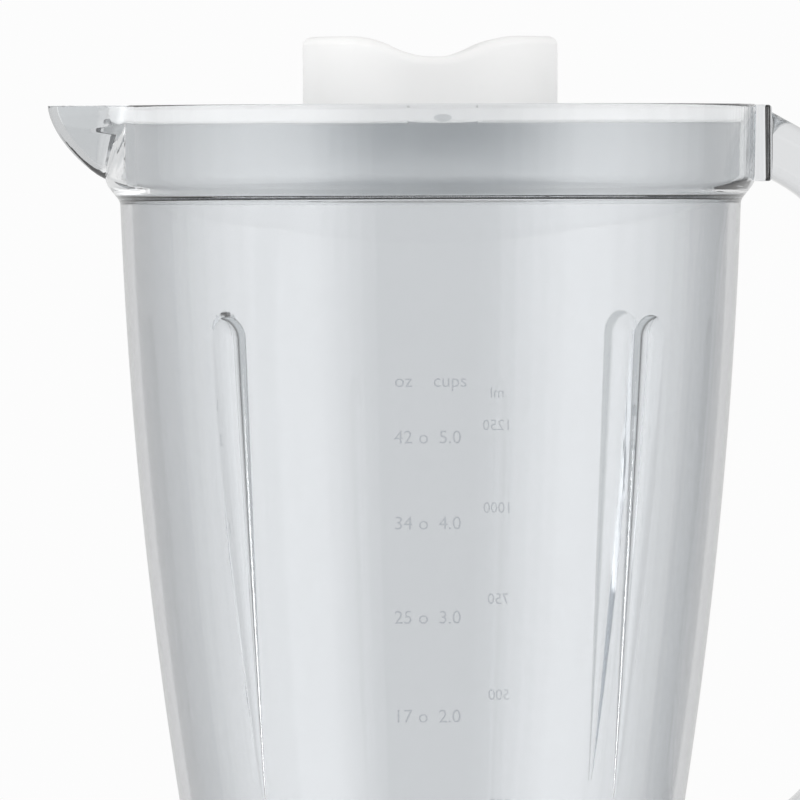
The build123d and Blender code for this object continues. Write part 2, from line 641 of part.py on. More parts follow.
def make_stator_nuts():
    """Nuts on the upper ends of the long bolts."""
    nut = hexagon(2 * BOLT_HEAD_RADIUS, UPPER_BRACKET_TOP_Z, UPPER_BRACKET_TOP_Z + BOLT_HEAD_HEIGHT)
    nut -= disc(BOLT_RADIUS + TOUCH, 0, BASE_HEIGHT)
    return Compound([place * nut for place in bolt_places()])


BRUSH_Z = COMMUTATOR_Z + COMMUTATOR_HEIGHT / 2
BRUSH_FACE_Y = COMMUTATOR_RADIUS + SLIP


def both_brushes(piece):
    """The same piece on both sides of the commutator."""
    return Compound([piece, Rot(0, 0, 180) * piece])


def make_brush_holders():
    """Insulated channels that guide the carbon brushes, standing on the lower bracket."""
    half_width = BRUSH_WIDTH / 2 + HOLDER_WALL
    start = COMMUTATOR_RADIUS + HOLDER_GAP
    top = BRUSH_Z + BRUSH_HEIGHT / 2 + HOLDER_WALL
    body = block(-half_width, half_width, start, HOLDER_REACH, LOWER_BRACKET_TOP_Z, top)
    channel_x = BRUSH_WIDTH / 2 + SLIP
    channel_z = BRUSH_HEIGHT / 2 + SLIP
    channel = block(
        -channel_x, channel_x, 0, HOLDER_REACH - HOLDER_WALL, BRUSH_Z - channel_z, BRUSH_Z + channel_z,
    )
    return both_brushes(body - channel)


def make_carbon_brushes():
    """Carbon brushes, their faces on the commutator."""
    half = BRUSH_WIDTH / 2
    low, high = BRUSH_Z - BRUSH_HEIGHT / 2, BRUSH_Z + BRUSH_HEIGHT / 2
    brush = block(-half, half, 0, BRUSH_FACE_Y + BRUSH_LENGTH, low, high)
    return both_brushes(brush - disc(BRUSH_FACE_Y, 0, BASE_HEIGHT))


def make_brush_springs():
    """Leaf springs that press the brushes on, each folded once."""
    back = HOLDER_REACH - HOLDER_WALL
    front = BRUSH_FACE_Y + BRUSH_LENGTH
    leaf = SPRING_LEAF
    half = BRUSH_WIDTH / 2 - leaf
    low, high = BRUSH_Z - BRUSH_HEIGHT / 3, BRUSH_Z + BRUSH_HEIGHT / 3
    spring = block(-half, half, front, front + leaf, low, high)
    spring += block(-half, half, back - leaf, back, low, high)
    spring += block(-half, half, front, back, high - leaf, high)
    return both_brushes(spring)


def make_motor_shaft():
    """Steel shaft that carries the rotor and the drive clutch."""
    shaft = disc(SHAFT_RADIUS, SHAFT_FOOT_Z, CLUTCH_TEETH_Z)
    return chamfer(shaft.edges().filter_by(GeomType.CIRCLE), SHAFT_CHAMFER)


def make_armature_core():
    """Slotted lamination stack of the rotor."""
    core = tube(ARMATURE_RADIUS, SHAFT_RADIUS + TOUCH, CORE_Z, CORE_TOP_Z)
    half = SLOT_WIDTH / 2
    slot = block(ARMATURE_RADIUS - SLOT_DEPTH, 2 * ARMATURE_RADIUS, -half, half, 0, BASE_HEIGHT)
    for place in around(ARMATURE_SLOTS, 0):
        core -= place * slot
    return core


def make_armature_winding():
    """End turns of the rotor's winding, one ring at each end of the stack."""
    rings = []
    for low in (CORE_Z - WINDING_HEIGHT, CORE_TOP_Z):
        ring = tube(WINDING_RADIUS, SHAFT_RADIUS + TOUCH, low, low + WINDING_HEIGHT)
        outer_edges = ring.edges().filter_by(GeomType.CIRCLE).group_by(SortBy.RADIUS)[-1]
        rings.append(fillet(outer_edges, WINDING_HEIGHT / 3))
    return Compound(rings)


def make_commutator():
    """Copper commutator with its bars cut apart on the surface."""
    top = COMMUTATOR_Z + COMMUTATOR_HEIGHT
    drum = tube(COMMUTATOR_RADIUS, SHAFT_RADIUS + TOUCH, COMMUTATOR_Z, top)
    half = BAR_GAP / 2
    groove = block(COMMUTATOR_RADIUS - BAR_GAP_DEPTH, 2 * COMMUTATOR_RADIUS, -half, half, 0, BASE_HEIGHT)
    for place in around(COMMUTATOR_BARS, 0):
        drum -= place * groove
    return drum


def make_cooling_fan():
    """Radial fan that draws air through the motor."""
    fan = disc(FAN_RADIUS, FAN_Z, FAN_Z + FAN_PLATE) + disc(FAN_HUB_RADIUS, FAN_Z, FAN_Z + FAN_HEIGHT)
    blade = block(
        FAN_HUB_RADIUS - OVERCUT, FAN_RADIUS - OVERCUT, -FAN_BLADE_THICKNESS / 2, FAN_BLADE_THICKNESS / 2,
        FAN_Z, FAN_Z + FAN_HEIGHT,
    )
    for place in around(FAN_BLADES, 0):
        fan += place * blade
    return fan - disc(SHAFT_RADIUS + TOUCH, 0, BASE_HEIGHT)


def clutch_gaps(low, high, first_angle):
    """The wedges cut out between the teeth of one half of the clutch, with its middle."""
    step = 360.0 / CLUTCH_TEETH
    reach = 2 * CLUTCH_RADIUS
    spread = reach * tan(radians((step - CLUTCH_TOOTH_ANGLE) / 2))
    wedge = make_face(Polyline((0, 0), (reach, -spread), (reach, spread), close=True).edges())
    gap = Pos(0, 0, low) * extrude(wedge, high - low)
    gaps = [Rot(0, 0, first_angle + step * n) * gap for n in range(CLUTCH_TEETH)]
    return [disc(CLUTCH_BORE_RADIUS, low, high)] + gaps


def make_drive_coupling():
    """Lower half of the dog clutch, on the motor shaft."""
    top = CLUTCH_TEETH_Z + CLUTCH_TOOTH_HEIGHT
    half = disc(CLUTCH_RADIUS, CLUTCH_Z, top) - clutch_gaps(CLUTCH_TEETH_Z, top + OVERCUT, 0)
    return half - disc(SHAFT_RADIUS + TOUCH, CLUTCH_Z - OVERCUT, top)


def make_driven_coupling():
    """Upper half of the dog clutch, under the jar, its teeth in the other half's gaps."""
    top = STEM_FOOT_Z - CLUTCH_GAP
    plate_z = DRIVEN_PLATE_Z + CLUTCH_GAP
    half_step = 180.0 / CLUTCH_TEETH
    half = disc(CLUTCH_RADIUS, DRIVEN_TEETH_Z, top)
    half -= clutch_gaps(DRIVEN_TEETH_Z - OVERCUT, plate_z, half_step)
    return half - disc(BLADE_SHAFT_RADIUS + TOUCH, DRIVEN_TEETH_Z, top + OVERCUT)


def make_speed_knob():
    """Round knob with a grip bar, hollow underneath."""
    top_radius = KNOB_RADIUS - KNOB_TAPER
    disc_top = KNOB_DEPTH - KNOB_GRIP_HEIGHT
    hub_foot = SWITCH_NECK_LENGTH - PANEL_THICKNESS + KNOB_GAP
    hub_top = KNOB_DEPTH - KNOB_WALL
    knob = cone(KNOB_RADIUS, top_radius, KNOB_GAP, disc_top + KNOB_GAP)
    knob = fillet(knob.edges().filter_by(GeomType.CIRCLE).group_by(Axis.Z)[-1], KNOB_TAPER)
    bar = SlotOverall(2 * top_radius - 2 * KNOB_TAPER, KNOB_GRIP_WIDTH, rotation=90)
    grip = Pos(0, 0, KNOB_WALL) * extrude(bar, hub_top)
    grip = fillet(grip.edges().group_by(Axis.Z)[-1], KNOB_TAPER)
    knob += grip
    knob -= disc(top_radius - KNOB_WALL, 0, disc_top - KNOB_WALL)
    knob += disc(SWITCH_SHAFT_RADIUS + KNOB_WALL, hub_foot, hub_top)
    knob -= disc(SWITCH_SHAFT_RADIUS + TOUCH, 0, hub_top)
    return on_panel(knob)


def make_switch_shaft():
    """Spindle from the switch to the knob."""
    foot = -PANEL_THICKNESS - SWITCH_DEPTH / 2
    return on_panel(disc(SWITCH_SHAFT_RADIUS, foot, KNOB_DEPTH - KNOB_WALL))


def make_switch_body():
    """Rotary speed switch behind the panel, held by its threaded neck."""
    back = -PANEL_THICKNESS - SWITCH_DEPTH
    case = RectangleRounded(SWITCH_SIDE, SWITCH_SIDE, SWITCH_CORNER)
    body = Pos(0, 0, back) * extrude(case, SWITCH_DEPTH)
    body += disc(SWITCH_NECK_RADIUS, -PANEL_THICKNESS - OVERCUT, SWITCH_NECK_LENGTH - PANEL_THICKNESS)
    body -= disc(SWITCH_SHAFT_RADIUS + RUNNING, -PANEL_THICKNESS - SWITCH_DEPTH / 2, KNOB_DEPTH)
    half_x, half_y = SWITCH_TAG_WIDTH / 2, SWITCH_TAG_THICKNESS / 2
    for x in (-SWITCH_SIDE / 3, 0, SWITCH_SIDE / 3):
        body += block(x - half_x, x + half_x, -half_y, half_y, back - SWITCH_TAG_LENGTH, back + OVERCUT)
    return on_panel(body)


def make_switch_nut():
    """Nut that clamps the switch to the panel, hidden by the knob."""
    nut = hexagon(SWITCH_NUT_ACROSS, 0, SWITCH_NUT_HEIGHT)
    return on_panel(nut - disc(SWITCH_NECK_RADIUS + TOUCH, -OVERCUT, KNOB_DEPTH))


def make_cord_gland():
    """Rubber grommet that lines the cord's way in, empty here."""
    inner_face = BASE_RADIUS - BASE_WALL
    outer_end = BASE_RADIUS + GLAND_FLANGE_THICKNESS
    inner_end = inner_face - GLAND_INNER_LENGTH

    def along(radius, start, stop):
        return Pos(0, start, GLAND_Z) * Rot(-90, 0, 0) * Cylinder(
            radius, stop - start, align=(Align.CENTER, Align.CENTER, Align.MIN)
        )

    flange = along(GLAND_FLANGE_RADIUS, inner_face, outer_end)
    outer_edge = flange.edges().filter_by(GeomType.CIRCLE).sort_by(Axis.Y)[-1:]
    flange = fillet(outer_edge, GLAND_FLANGE_THICKNESS / 2)
    gland = flange - disc(BASE_RADIUS + TOUCH, 0, 2 * BASE_SKIRT_HEIGHT)
    collar = along(GLAND_FLANGE_RADIUS, inner_end, inner_face - GLAND_WALL_GAP)
    gland += collar & disc(inner_face - TOUCH, 0, 2 * BASE_SKIRT_HEIGHT)
    gland += along(GLAND_BODY_RADIUS, inner_end, outer_end - OVERCUT)
    return gland - along(GLAND_BORE_RADIUS, inner_end - OVERCUT, outer_end + OVERCUT)


# The jar's wall is one arc, from the shoulder under the mouth band to the floor.
def jar_side(inset):
    """Outline points of the jar's side, moved in by the inset."""
    top = (JAR_WALL_TOP_RADIUS - inset, SHOULDER_FOOT_Z)
    foot = (JAR_WALL_FOOT_RADIUS - inset, FLOOR_UNDER_Z)
    chord = hypot(top[0] - foot[0], top[1] - foot[1])
    out_x, out_z = (top[1] - foot[1]) / chord, -(top[0] - foot[0]) / chord
    middle = ((top[0] + foot[0]) / 2 + JAR_WALL_BOW * out_x, (top[1] + foot[1]) / 2 + JAR_WALL_BOW * out_z)
    return top, middle, foot


def jar_radius_at(height, inset=0.0):
    """Radius of the jar's side at a height."""
    top, middle, foot = jar_side(inset)
    arc = ThreePointArc(top, middle, foot)
    centre = arc.arc_center
    return centre.X + sqrt(arc.radius**2 - (height - centre.Y) ** 2)


def jar_outside():
    """The jar's outer form without spout or handle pads, as a full solid."""
    top, middle, foot = jar_side(0)
    shoulder = (MOUTH_RADIUS - MOUTH_DRAFT, SHOULDER_TOP_Z)
    rim = (MOUTH_RADIUS, RIM_Z)
    neck_top, neck_foot = (JAR_NECK_RADIUS, FLOOR_UNDER_Z), (JAR_NECK_RADIUS, NECK_FOOT_Z)
    outline = Polyline((0, RIM_Z), rim, shoulder, top) + ThreePointArc(top, middle, foot)
    outline += Polyline(foot, neck_top, neck_foot, (0, NECK_FOOT_Z), (0, RIM_Z))
    face = make_face(outline.edges())
    return rounded_turn(face, [(rim, RIM_ROUND), (shoulder, SHOULDER_ROUND), (top, RIM_ROUND)])


def jar_inside():
    """The jar's hollow, open above the rim."""
    above = RIM_Z + OVERCUT
    middle_z = (LEDGE_Z + FLOOR_Z) / 2
    corner = (MOUTH_INNER_RADIUS, LEDGE_Z)
    ledge = (jar_radius_at(LEDGE_Z, JAR_WALL), LEDGE_Z)
    middle = (jar_radius_at(middle_z, JAR_WALL), middle_z)
    floor = (jar_radius_at(FLOOR_Z, JAR_WALL), FLOOR_Z)
    outline = Polyline((0, above), (MOUTH_INNER_RADIUS, above), corner, ledge)
    outline += ThreePointArc(ledge, middle, floor) + Polyline(floor, (0, FLOOR_Z), (0, above))
    face = make_face(outline.edges())
    return rounded_turn(face, [(floor, JAR_FLOOR_ROUND), (corner, RIM_ROUND), (ledge, RIM_ROUND)])


def spout_reach(depth):
    """How far the spout stands out at a depth below the rim: a bow-shaped curve down to the mouth band."""
    share = min(1.0, max(0.0, depth / SPOUT_DEPTH))
    root = MOUTH_RADIUS - MOUTH_DRAFT
    return root + (SPOUT_REACH - root) * (1.0 - share**SPOUT_TOP_BOW) ** SPOUT_FOOT_BOW


def spout_section(reach, tip_round, root_x):
    """A pointed outline, open towards the mouth, with a rounded tip."""
    corner = reach + tip_round * (hypot(1.0, SPOUT_FLARE) / SPOUT_FLARE - 1.0)
    half = (corner - root_x) * SPOUT_FLARE
    face = make_face(Polyline((-corner, 0), (-root_x, half), (-root_x, -half), close=True).edges())
    tip = min(face.vertices(), key=lambda v: v.X)
    return fillet([tip], tip_round)


def spout_body(inset, top_z, depth):
    """The spout's form, moved in by the inset, as a loft through level outlines."""
    sections = []
    for n in range(SPOUT_SECTIONS):
        share = n / (SPOUT_SECTIONS - 1)
        level = depth * share
        reach = spout_reach(level + inset * share) - inset
        outline = spout_section(reach, SPOUT_TIP_ROUND - inset, SPOUT_ROOT_X)
        sections.append(Pos(0, 0, RIM_Z - level) * outline)
    body = loft(sections)
    if top_z > RIM_Z:
        body += extrude(sections[0], top_z - RIM_Z)
    return body


def jar_ribs():
    """Four inner ribs that stir the load: a round top end, running out to a point below."""
    top_z, foot_z = RIM_Z - RIB_TOP_DEPTH, RIM_Z - RIB_FOOT_DEPTH
    top_x, foot_x = jar_radius_at(top_z, JAR_WALL), jar_radius_at(foot_z, JAR_WALL)
    run = Vector(top_x - foot_x, 0, top_z - foot_z)
    plane = Plane(origin=(foot_x, 0, foot_z), x_dir=(0, 1, 0), z_dir=run)
    rib = plane * cone(RIB_FOOT_RADIUS, RIB_TOP_RADIUS, 0, run.length)
    rib += Pos(top_x, 0, top_z) * Sphere(RIB_TOP_RADIUS)
    angles = (RIB_ANGLE, 180 - RIB_ANGLE, 180 + RIB_ANGLE, -RIB_ANGLE)
    return [Rot(0, 0, angle) * rib for angle in angles]


def handle_path():
    """The handle's middle line in the XZ plane, from the mouth band round to the jar's foot."""
    root = Vector(PAD_X, RIM_Z - HANDLE_ROOT_DEPTH)
    heading = radians(-HANDLE_ROOT_ANGLE)
    lead = Vector(cos(heading), sin(heading))
    start = root - lead * HANDLE_THICKNESS
    lead_in = Line((start.X, start.Y), (root.X, root.Y))
    top_bend = JernArc(lead_in @ 1, lead_in % 1, HANDLE_TOP_BEND, -(90 - HANDLE_ROOT_ANGLE))
    foot = top_bend @ 1
    grip = Line((foot.X, foot.Y), (foot.X, foot.Y - HANDLE_GRIP_LENGTH))
    lower_bend = JernArc(grip @ 1, grip % 1, HANDLE_LOWER_BEND, -HANDLE_LOWER_ANGLE)
    foot_bend = JernArc(lower_bend @ 1, lower_bend % 1, HANDLE_FOOT_BEND, -HANDLE_FOOT_ANGLE)
    lead_out = PolarLine(foot_bend @ 1, 2 * HANDLE_THICKNESS, direction=foot_bend % 1)
    return Curve() + [lead_in, top_bend, grip, lower_bend, foot_bend, lead_out]


def lower_pad_z():
    """Height at which the handle's middle line meets the lower pad."""
    line = handle_path().edges().sort_by(Axis.X)[0]
    share = (line @ 0).X - LOWER_PAD_REACH
    direction = line % 0
    return (line @ 0).Y + direction.Y / direction.X * -share


def handle_pads():
    """Blocks on the jar that the handle's two ends are welded to."""
    half = HANDLE_WIDTH / 2
    top = block(0, PAD_X, -half, half, SHOULDER_TOP_Z, RIM_Z - RIM_ROUND)
    low, high = lower_pad_z() - HANDLE_THICKNESS / 2, lower_pad_z() + HANDLE_THICKNESS / 2
    lower = block(0, LOWER_PAD_REACH, -half, half, low, high)
    lower = fillet(lower.edges().filter_by(Axis.X), HANDLE_CORNER / 2)
    top = fillet(top.edges().filter_by(Axis.X).group_by(Axis.Z)[0], HANDLE_CORNER / 2)
    return top + lower


def make_handle():
    """Looped handle, welded to the jar's two pads."""
    path = Plane.XZ * handle_path()
    start = path.edges().sort_by(Axis.Z)[-1]
    section_plane = Plane(origin=start @ 0, x_dir=(0, 1, 0), z_dir=start % 0)
    section = section_plane * RectangleRounded(HANDLE_WIDTH, HANDLE_THICKNESS, HANDLE_CORNER)
    bar = sweep(section, path=path)
    middle_z = (RIM_Z + lower_pad_z()) / 2
    bar -= block(0, PAD_X, -HANDLE_WIDTH, HANDLE_WIDTH, middle_z, 2 * RIM_Z)
    return bar - block(0, LOWER_PAD_REACH, -HANDLE_WIDTH, HANDLE_WIDTH, 0, middle_z)


def make_jar():
    """Clear moulded jar: mouth band, spout, ribs, handle pads, floor and the neck under it."""
    full = jar_outside() + spout_body(0, RIM_Z, SPOUT_DEPTH) + handle_pads()
    hollow = jar_inside() + spout_body(JAR_WALL, RIM_Z + OVERCUT, SPOUT_DEPTH - JAR_WALL)
    jar = full - hollow
    shell = jar_outside()
    for rib in jar_ribs():
        jar += rib & shell
    jar -= disc(JAR_NECK_RADIUS - JAR_NECK_WALL, NECK_FOOT_Z - OVERCUT, FLOOR_UNDER_Z)
    jar -= disc(HOLDER_STEM_RADIUS + SLIP, NECK_FOOT_Z, RIM_Z)
    screw_hole = disc(COLLAR_SCREW_RADIUS + TOUCH, NECK_FOOT_Z - OVERCUT, NECK_FOOT_Z + COLLAR_SCREW_LENGTH)
    for place in collar_screw_places():
        jar -= place * screw_hole
    return jar


def collar_screw_places():
    """Where the screws from the collar enter the jar's neck."""
    return around(COLLAR_SCREWS, JAR_NECK_RADIUS - JAR_NECK_WALL / 2)


def make_jar_collar():
    """Opaque foot of the jar, which drops into the deck's rim."""
    web_z = SEAT_Z + COLLAR_WEB_Z
    top_inner = jar_radius_at(COLLAR_TOP_Z) + SLIP
    neck_inner = JAR_WALL_FOOT_RADIUS + SLIP
    foot_inner = COLLAR_FOOT_RADIUS - COLLAR_WALL
    outline = Polyline(
        (COLLAR_WEB_HOLE_RADIUS, web_z), (foot_inner, web_z),
        (foot_inner, SEAT_Z), (COLLAR_FOOT_RADIUS, SEAT_Z),
        (COLLAR_FOOT_RADIUS, DECK_RIM_Z + SLIP), (COLLAR_TOP_RADIUS, COLLAR_TOP_Z),
        (top_inner, COLLAR_TOP_Z), (neck_inner, FLOOR_UNDER_Z),
        (neck_inner, NECK_FOOT_Z), (COLLAR_WEB_HOLE_RADIUS, NECK_FOOT_Z), close=True,
    )
    collar = revolve(Plane.XZ * make_face(outline.edges()), Axis.Z)
    inner = DECK_RIM_INNER_RADIUS - SEAT_LUG_DEPTH - SLIP
    half = SEAT_LUG_WIDTH / 2 + SLIP
    notch = block(inner, 2 * COLLAR_FOOT_RADIUS, -half, half, SEAT_Z - OVERCUT, DECK_RIM_Z - SLIP)
    for place in around(SEAT_LUGS, 0, BETWEEN_AXES):
        collar -= place * notch
    for place in collar_screw_places():
        collar -= place * disc(COLLAR_SCREW_RADIUS + TOUCH, SEAT_Z, NECK_FOOT_Z + OVERCUT)
    return collar


def make_collar_screws():
    """Screws that hold the collar to the jar's neck."""
    length = COLLAR_WEB_THICKNESS + COLLAR_SCREW_LENGTH - OVERCUT
    one = screw(COLLAR_SCREW_RADIUS, COLLAR_SCREW_HEAD_RADIUS, SCREW_HEAD_HEIGHT, length)
    one = Pos(0, 0, SEAT_Z + COLLAR_WEB_Z) * one
    return Compound([place * one for place in collar_screw_places()])


def make_blade_seal():
    """Rubber ring between the blade holder and the jar's floor."""
    return tube(HOLDER_FLANGE_RADIUS - OVERCUT, HOLDER_STEM_RADIUS + SLIP, FLOOR_Z, FLANGE_Z)


def make_blade_holder():
    """Flanged bearing housing that passes through the jar's floor."""
    holder = disc(HOLDER_STEM_RADIUS, STEM_FOOT_Z, FLANGE_TOP_Z)
    flange = disc(HOLDER_FLANGE_RADIUS, FLANGE_Z, FLANGE_TOP_Z)
    flange_edge = flange.edges().filter_by(GeomType.CIRCLE).group_by(Axis.Z)[-1]
    holder += fillet(flange_edge, HOLDER_FLANGE_HEIGHT / 2)
    holder += cone(HOLDER_STEM_RADIUS, HOLDER_CROWN_RADIUS, FLANGE_TOP_Z, CROWN_TOP_Z)
    holder -= disc(BUSH_RADIUS + TOUCH, STEM_FOOT_Z - OVERCUT, STEM_FOOT_Z + BUSH_HEIGHT)
    holder -= disc(BUSH_RADIUS + TOUCH, CROWN_TOP_Z - BUSH_HEIGHT, CROWN_TOP_Z + OVERCUT)
    return holder - disc(BLADE_SHAFT_RADIUS + SLIP, STEM_FOOT_Z - OVERCUT, CROWN_TOP_Z + OVERCUT)


def make_bush(low):
    """Sintered bush for the blade shaft."""
    return tube(BUSH_RADIUS, BLADE_SHAFT_RADIUS + RUNNING, low, low + BUSH_HEIGHT)


def make_holder_nut():
    """Large nut that clamps the blade holder from below."""
    nut = hexagon(HOLDER_NUT_ACROSS, FLOOR_UNDER_Z - HOLDER_NUT_HEIGHT, FLOOR_UNDER_Z)
    return nut - disc(HOLDER_STEM_RADIUS + TOUCH, 0, RIM_Z)


def make_blade_shaft():
    """Steel shaft through the blade holder, from the clutch up to the blades."""
    top = BLADE_STACK_Z + BLADE_NUT_HEIGHT - OVERCUT
    shaft = disc(BLADE_SHAFT_RADIUS, DRIVEN_PLATE_Z + CLUTCH_GAP, top)
    return chamfer(shaft.edges().filter_by(GeomType.CIRCLE), SHAFT_CHAMFER)


def make_blade_spacer():
    """Washer that lifts the blades off the holder's crown."""
    return tube(BUSH_RADIUS, BLADE_SHAFT_RADIUS + TOUCH, CROWN_TOP_Z + SLIP, BLADE_Z)


def make_blade(low, bend, first_angle):
    """Two-winged blade stamped from sheet, its wings bent by an angle and ground to an edge on one side."""
    half, tip_half = BLADE_WIDTH / 2, BLADE_TIP_WIDTH / 2
    hub = block(-BLADE_FLAT, BLADE_FLAT, -half, half, 0, BLADE_THICKNESS)
    reach = BLADE_LENGTH - BLADE_FLAT
    outline = Polyline((0, -half), (reach, -tip_half), (reach, tip_half), (0, half), close=True)
    wing = extrude(make_face(outline.edges()), BLADE_THICKNESS)
    edge = max(wing.edges().filter_by(Plane.XY).group_by(Axis.Z)[-1], key=lambda e: (e @ 0.5).Y)
    wing = chamfer([edge], BLADE_EDGE)
    hinge_height = 0 if bend > 0 else BLADE_THICKNESS
    wing = Pos(BLADE_FLAT, 0, hinge_height) * Rot(0, -bend, 0) * Pos(0, 0, -hinge_height) * wing
    one_side = hub + wing
    blade = one_side + Rot(0, 0, 180) * wing
    blade -= disc(BLADE_SHAFT_RADIUS + TOUCH, -OVERCUT, 2 * BLADE_THICKNESS)
    return Rot(0, 0, first_angle) * Pos(0, 0, low) * blade


def make_blade_nut():
    """Domed nut that clamps both blades."""
    nut = hexagon(BLADE_NUT_ACROSS, BLADE_STACK_Z, BLADE_STACK_Z + BLADE_NUT_HEIGHT)
    top = BLADE_STACK_Z + BLADE_NUT_HEIGHT
    dome = Pos(0, 0, top) * Sphere(BLADE_NUT_DOME_RADIUS)
    nut += dome & disc(BLADE_NUT_ACROSS, top, top + BLADE_NUT_HEIGHT)
    return nut - disc(BLADE_SHAFT_RADIUS + TOUCH, BLADE_STACK_Z - OVERCUT, top)


LID_RADIUS = MOUTH_INNER_RADIUS - LID_SIDE_GAP
SEAL_TOP_Z = RIM_Z - SEAL_TOP_GAP
SEAL_Z = SEAL_TOP_Z - SEAL_HEIGHT
LID_SKIRT_RADIUS = LID_RADIUS - SLIP


def lid_lug(room):
    """The key on the lid's edge, at the front, grown by the given room."""
    half = LID_LUG_WIDTH / 2 + room
    inner_y = 2 * SEAL_GROOVE - LID_RADIUS
    return block(-half, half, -LID_RADIUS, inner_y, SEAL_Z - room, SEAL_TOP_Z + OVERCUT)


def make_lid():
    """Clear plug lid: a plate level with the rim, a skirt that stands on the ledge, and a filler neck."""
    lid = disc(LID_RADIUS, RIM_Z - LID_PLATE - SEAL_HEIGHT, RIM_Z)
    lid = fillet(lid.edges().filter_by(GeomType.CIRCLE).group_by(Axis.Z)[-1], SEAL_TOP_GAP)
    lid += disc(LID_SKIRT_RADIUS, LEDGE_Z, RIM_Z - LID_PLATE)
    lid -= disc(LID_SKIRT_RADIUS - LID_WALL, LEDGE_Z - OVERCUT, RIM_Z - LID_PLATE)
    neck_radius = LID_NECK_RADIUS + LID_NECK_WALL
    lid += disc(neck_radius, RIM_Z - LID_NECK_DEPTH, RIM_Z - LID_PLATE / 2)
    lid -= disc(LID_NECK_RADIUS, LEDGE_Z, RIM_Z + OVERCUT)
    groove = tube(LID_RADIUS + OVERCUT, LID_RADIUS - SEAL_GROOVE, SEAL_Z, SEAL_TOP_Z)
    lid -= groove - lid_lug(0)
    return lid


def make_lid_seal():
    """Pale silicone band in the lid's groove, interrupted at the key."""
    inner = LID_RADIUS - SEAL_GROOVE + TOUCH
    band = tube(MOUTH_INNER_RADIUS - SLIP, inner, SEAL_Z + TOUCH, SEAL_TOP_Z - TOUCH)
    band = fillet(band.edges().filter_by(GeomType.CIRCLE).group_by(SortBy.RADIUS)[-1], SEAL_GROOVE / 3)
    return band - lid_lug(SLIP)


def on_cap_rim(edge):
    """True for the edges that bound the cap's top face."""
    middle = edge @ 0.5
    upright = abs((edge @ 0).Z - (edge @ 1).Z) > CAP_HEIGHT / 2
    outermost = abs(hypot(middle.X, middle.Y) - CAP_RADIUS) < TOUCH
    return outermost and not upright and middle.Z > RIM_Z + CAP_HEIGHT / 3


def make_filler_cap():
    """White measuring cap with a finger dip across its top, hollow from below."""
    plateau = RIM_Z + CAP_HEIGHT
    dip = plateau - CAP_DIP
    half = CAP_DIP_HALF_WIDTH
    mid = (half / 2, (plateau + dip) / 2)
    bend = (half**2 + CAP_DIP**2) / (4 * CAP_DIP)
    upper = RadiusArc((half, plateau), mid, -bend)
    lower = RadiusArc(mid, (0, dip), bend)
    past = CAP_RADIUS + OVERCUT
    side = Polyline((0, RIM_Z), (past, RIM_Z), (past, plateau), (half, plateau))
    right = make_face((side + upper + lower + Line((0, dip), (0, RIM_Z))).edges())
    profile = right + mirror(right, Plane.YZ)
    knob = extrude(Plane.XZ * profile, past, both=True) & disc(CAP_RADIUS, RIM_Z, plateau + OVERCUT)
    knob = fillet([edge for edge in knob.edges() if on_cap_rim(edge)], CAP_EDGE_ROUND)
    plug = disc(LID_NECK_RADIUS - SLIP, RIM_Z - CAP_PLUG_DEPTH, RIM_Z + OVERCUT)
    hollow = disc(LID_NECK_RADIUS - SLIP - CAP_WALL, RIM_Z - CAP_PLUG_DEPTH - OVERCUT, dip - CAP_WALL)
    return knob + plug - hollow


def all_pieces():
    """Every piece of the object, by name."""
    pieces = {
        "housing": make_housing(),
        "bottom_cover": make_bottom_cover(),
        "cover_screws": make_cover_screws(),
        "deck": make_deck(),
        "shaft_seal": make_shaft_seal(),
        "upper_bracket": make_upper_bracket(),
        "lower_bracket": make_lower_bracket(),
        "upper_bearing": make_bearing(UPPER_BRACKET_Z),
        "lower_bearing": make_bearing(LOWER_BRACKET_Z - BEARING_HEIGHT),
        "motor_dampers": make_motor_dampers(),
        "motor_screws": make_motor_screws(),
        "stator_core": make_stator_core(),
        "field_coils": make_field_coils(),
        "stator_bolts": make_stator_bolts(),
        "stator_nuts": make_stator_nuts(),
        "brush_holders": make_brush_holders(),
        "carbon_brushes": make_carbon_brushes(),
        "brush_springs": make_brush_springs(),
        "motor_shaft": make_motor_shaft(),
        "armature_core": make_armature_core(),
        "armature_winding": make_armature_winding(),
        "commutator": make_commutator(),
        "cooling_fan": make_cooling_fan(),
        "drive_coupling": make_drive_coupling(),
        "speed_knob": make_speed_knob(),
        "switch_shaft": make_switch_shaft(),
        "switch_body": make_switch_body(),
        "switch_nut": make_switch_nut(),
        "cord_gland": make_cord_gland(),
        "jar": make_jar(),
        "handle": make_handle(),
        "jar_collar": make_jar_collar(),
        "collar_screws": make_collar_screws(),
        "blade_seal": make_blade_seal(),
        "blade_holder": make_blade_holder(),
        "holder_nut": make_holder_nut(),
        "upper_bush": make_bush(CROWN_TOP_Z - BUSH_HEIGHT),
        "lower_bush": make_bush(STEM_FOOT_Z),
        "blade_shaft": make_blade_shaft(),
        "blade_spacer": make_blade_spacer(),
        "lower_blade": make_blade(BLADE_Z, -LOWER_BLADE_ANGLE, 0),
        "upper_blade": make_blade(BLADE_Z + BLADE_THICKNESS, UPPER_BLADE_ANGLE, UPPER_BLADE_TURN_ANGLE),
        "blade_nut": make_blade_nut(),
        "driven_coupling": make_driven_coupling(),
        "lid": make_lid(),
        "lid_seal": make_lid_seal(),
        "filler_cap": make_filler_cap(),
    }
    for name, place in zip(FOOT_NAMES, around(len(FOOT_NAMES), FOOT_RING_RADIUS)):
        pieces[name] = make_foot(place)
    return pieces


def main():
    """Builds every piece, moves them to the object's own origin and writes them."""
    to_origin = Pos(DRIVE_AXIS_X, DRIVE_AXIS_Y, 0)
    os.makedirs("parts", exist_ok=True)
    for name, piece in all_pieces().items():
        export_step(to_origin * piece, f"parts/{name}.step")


main()
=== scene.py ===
import json
from math import cos, hypot, pi, radians, sin, sqrt, tan

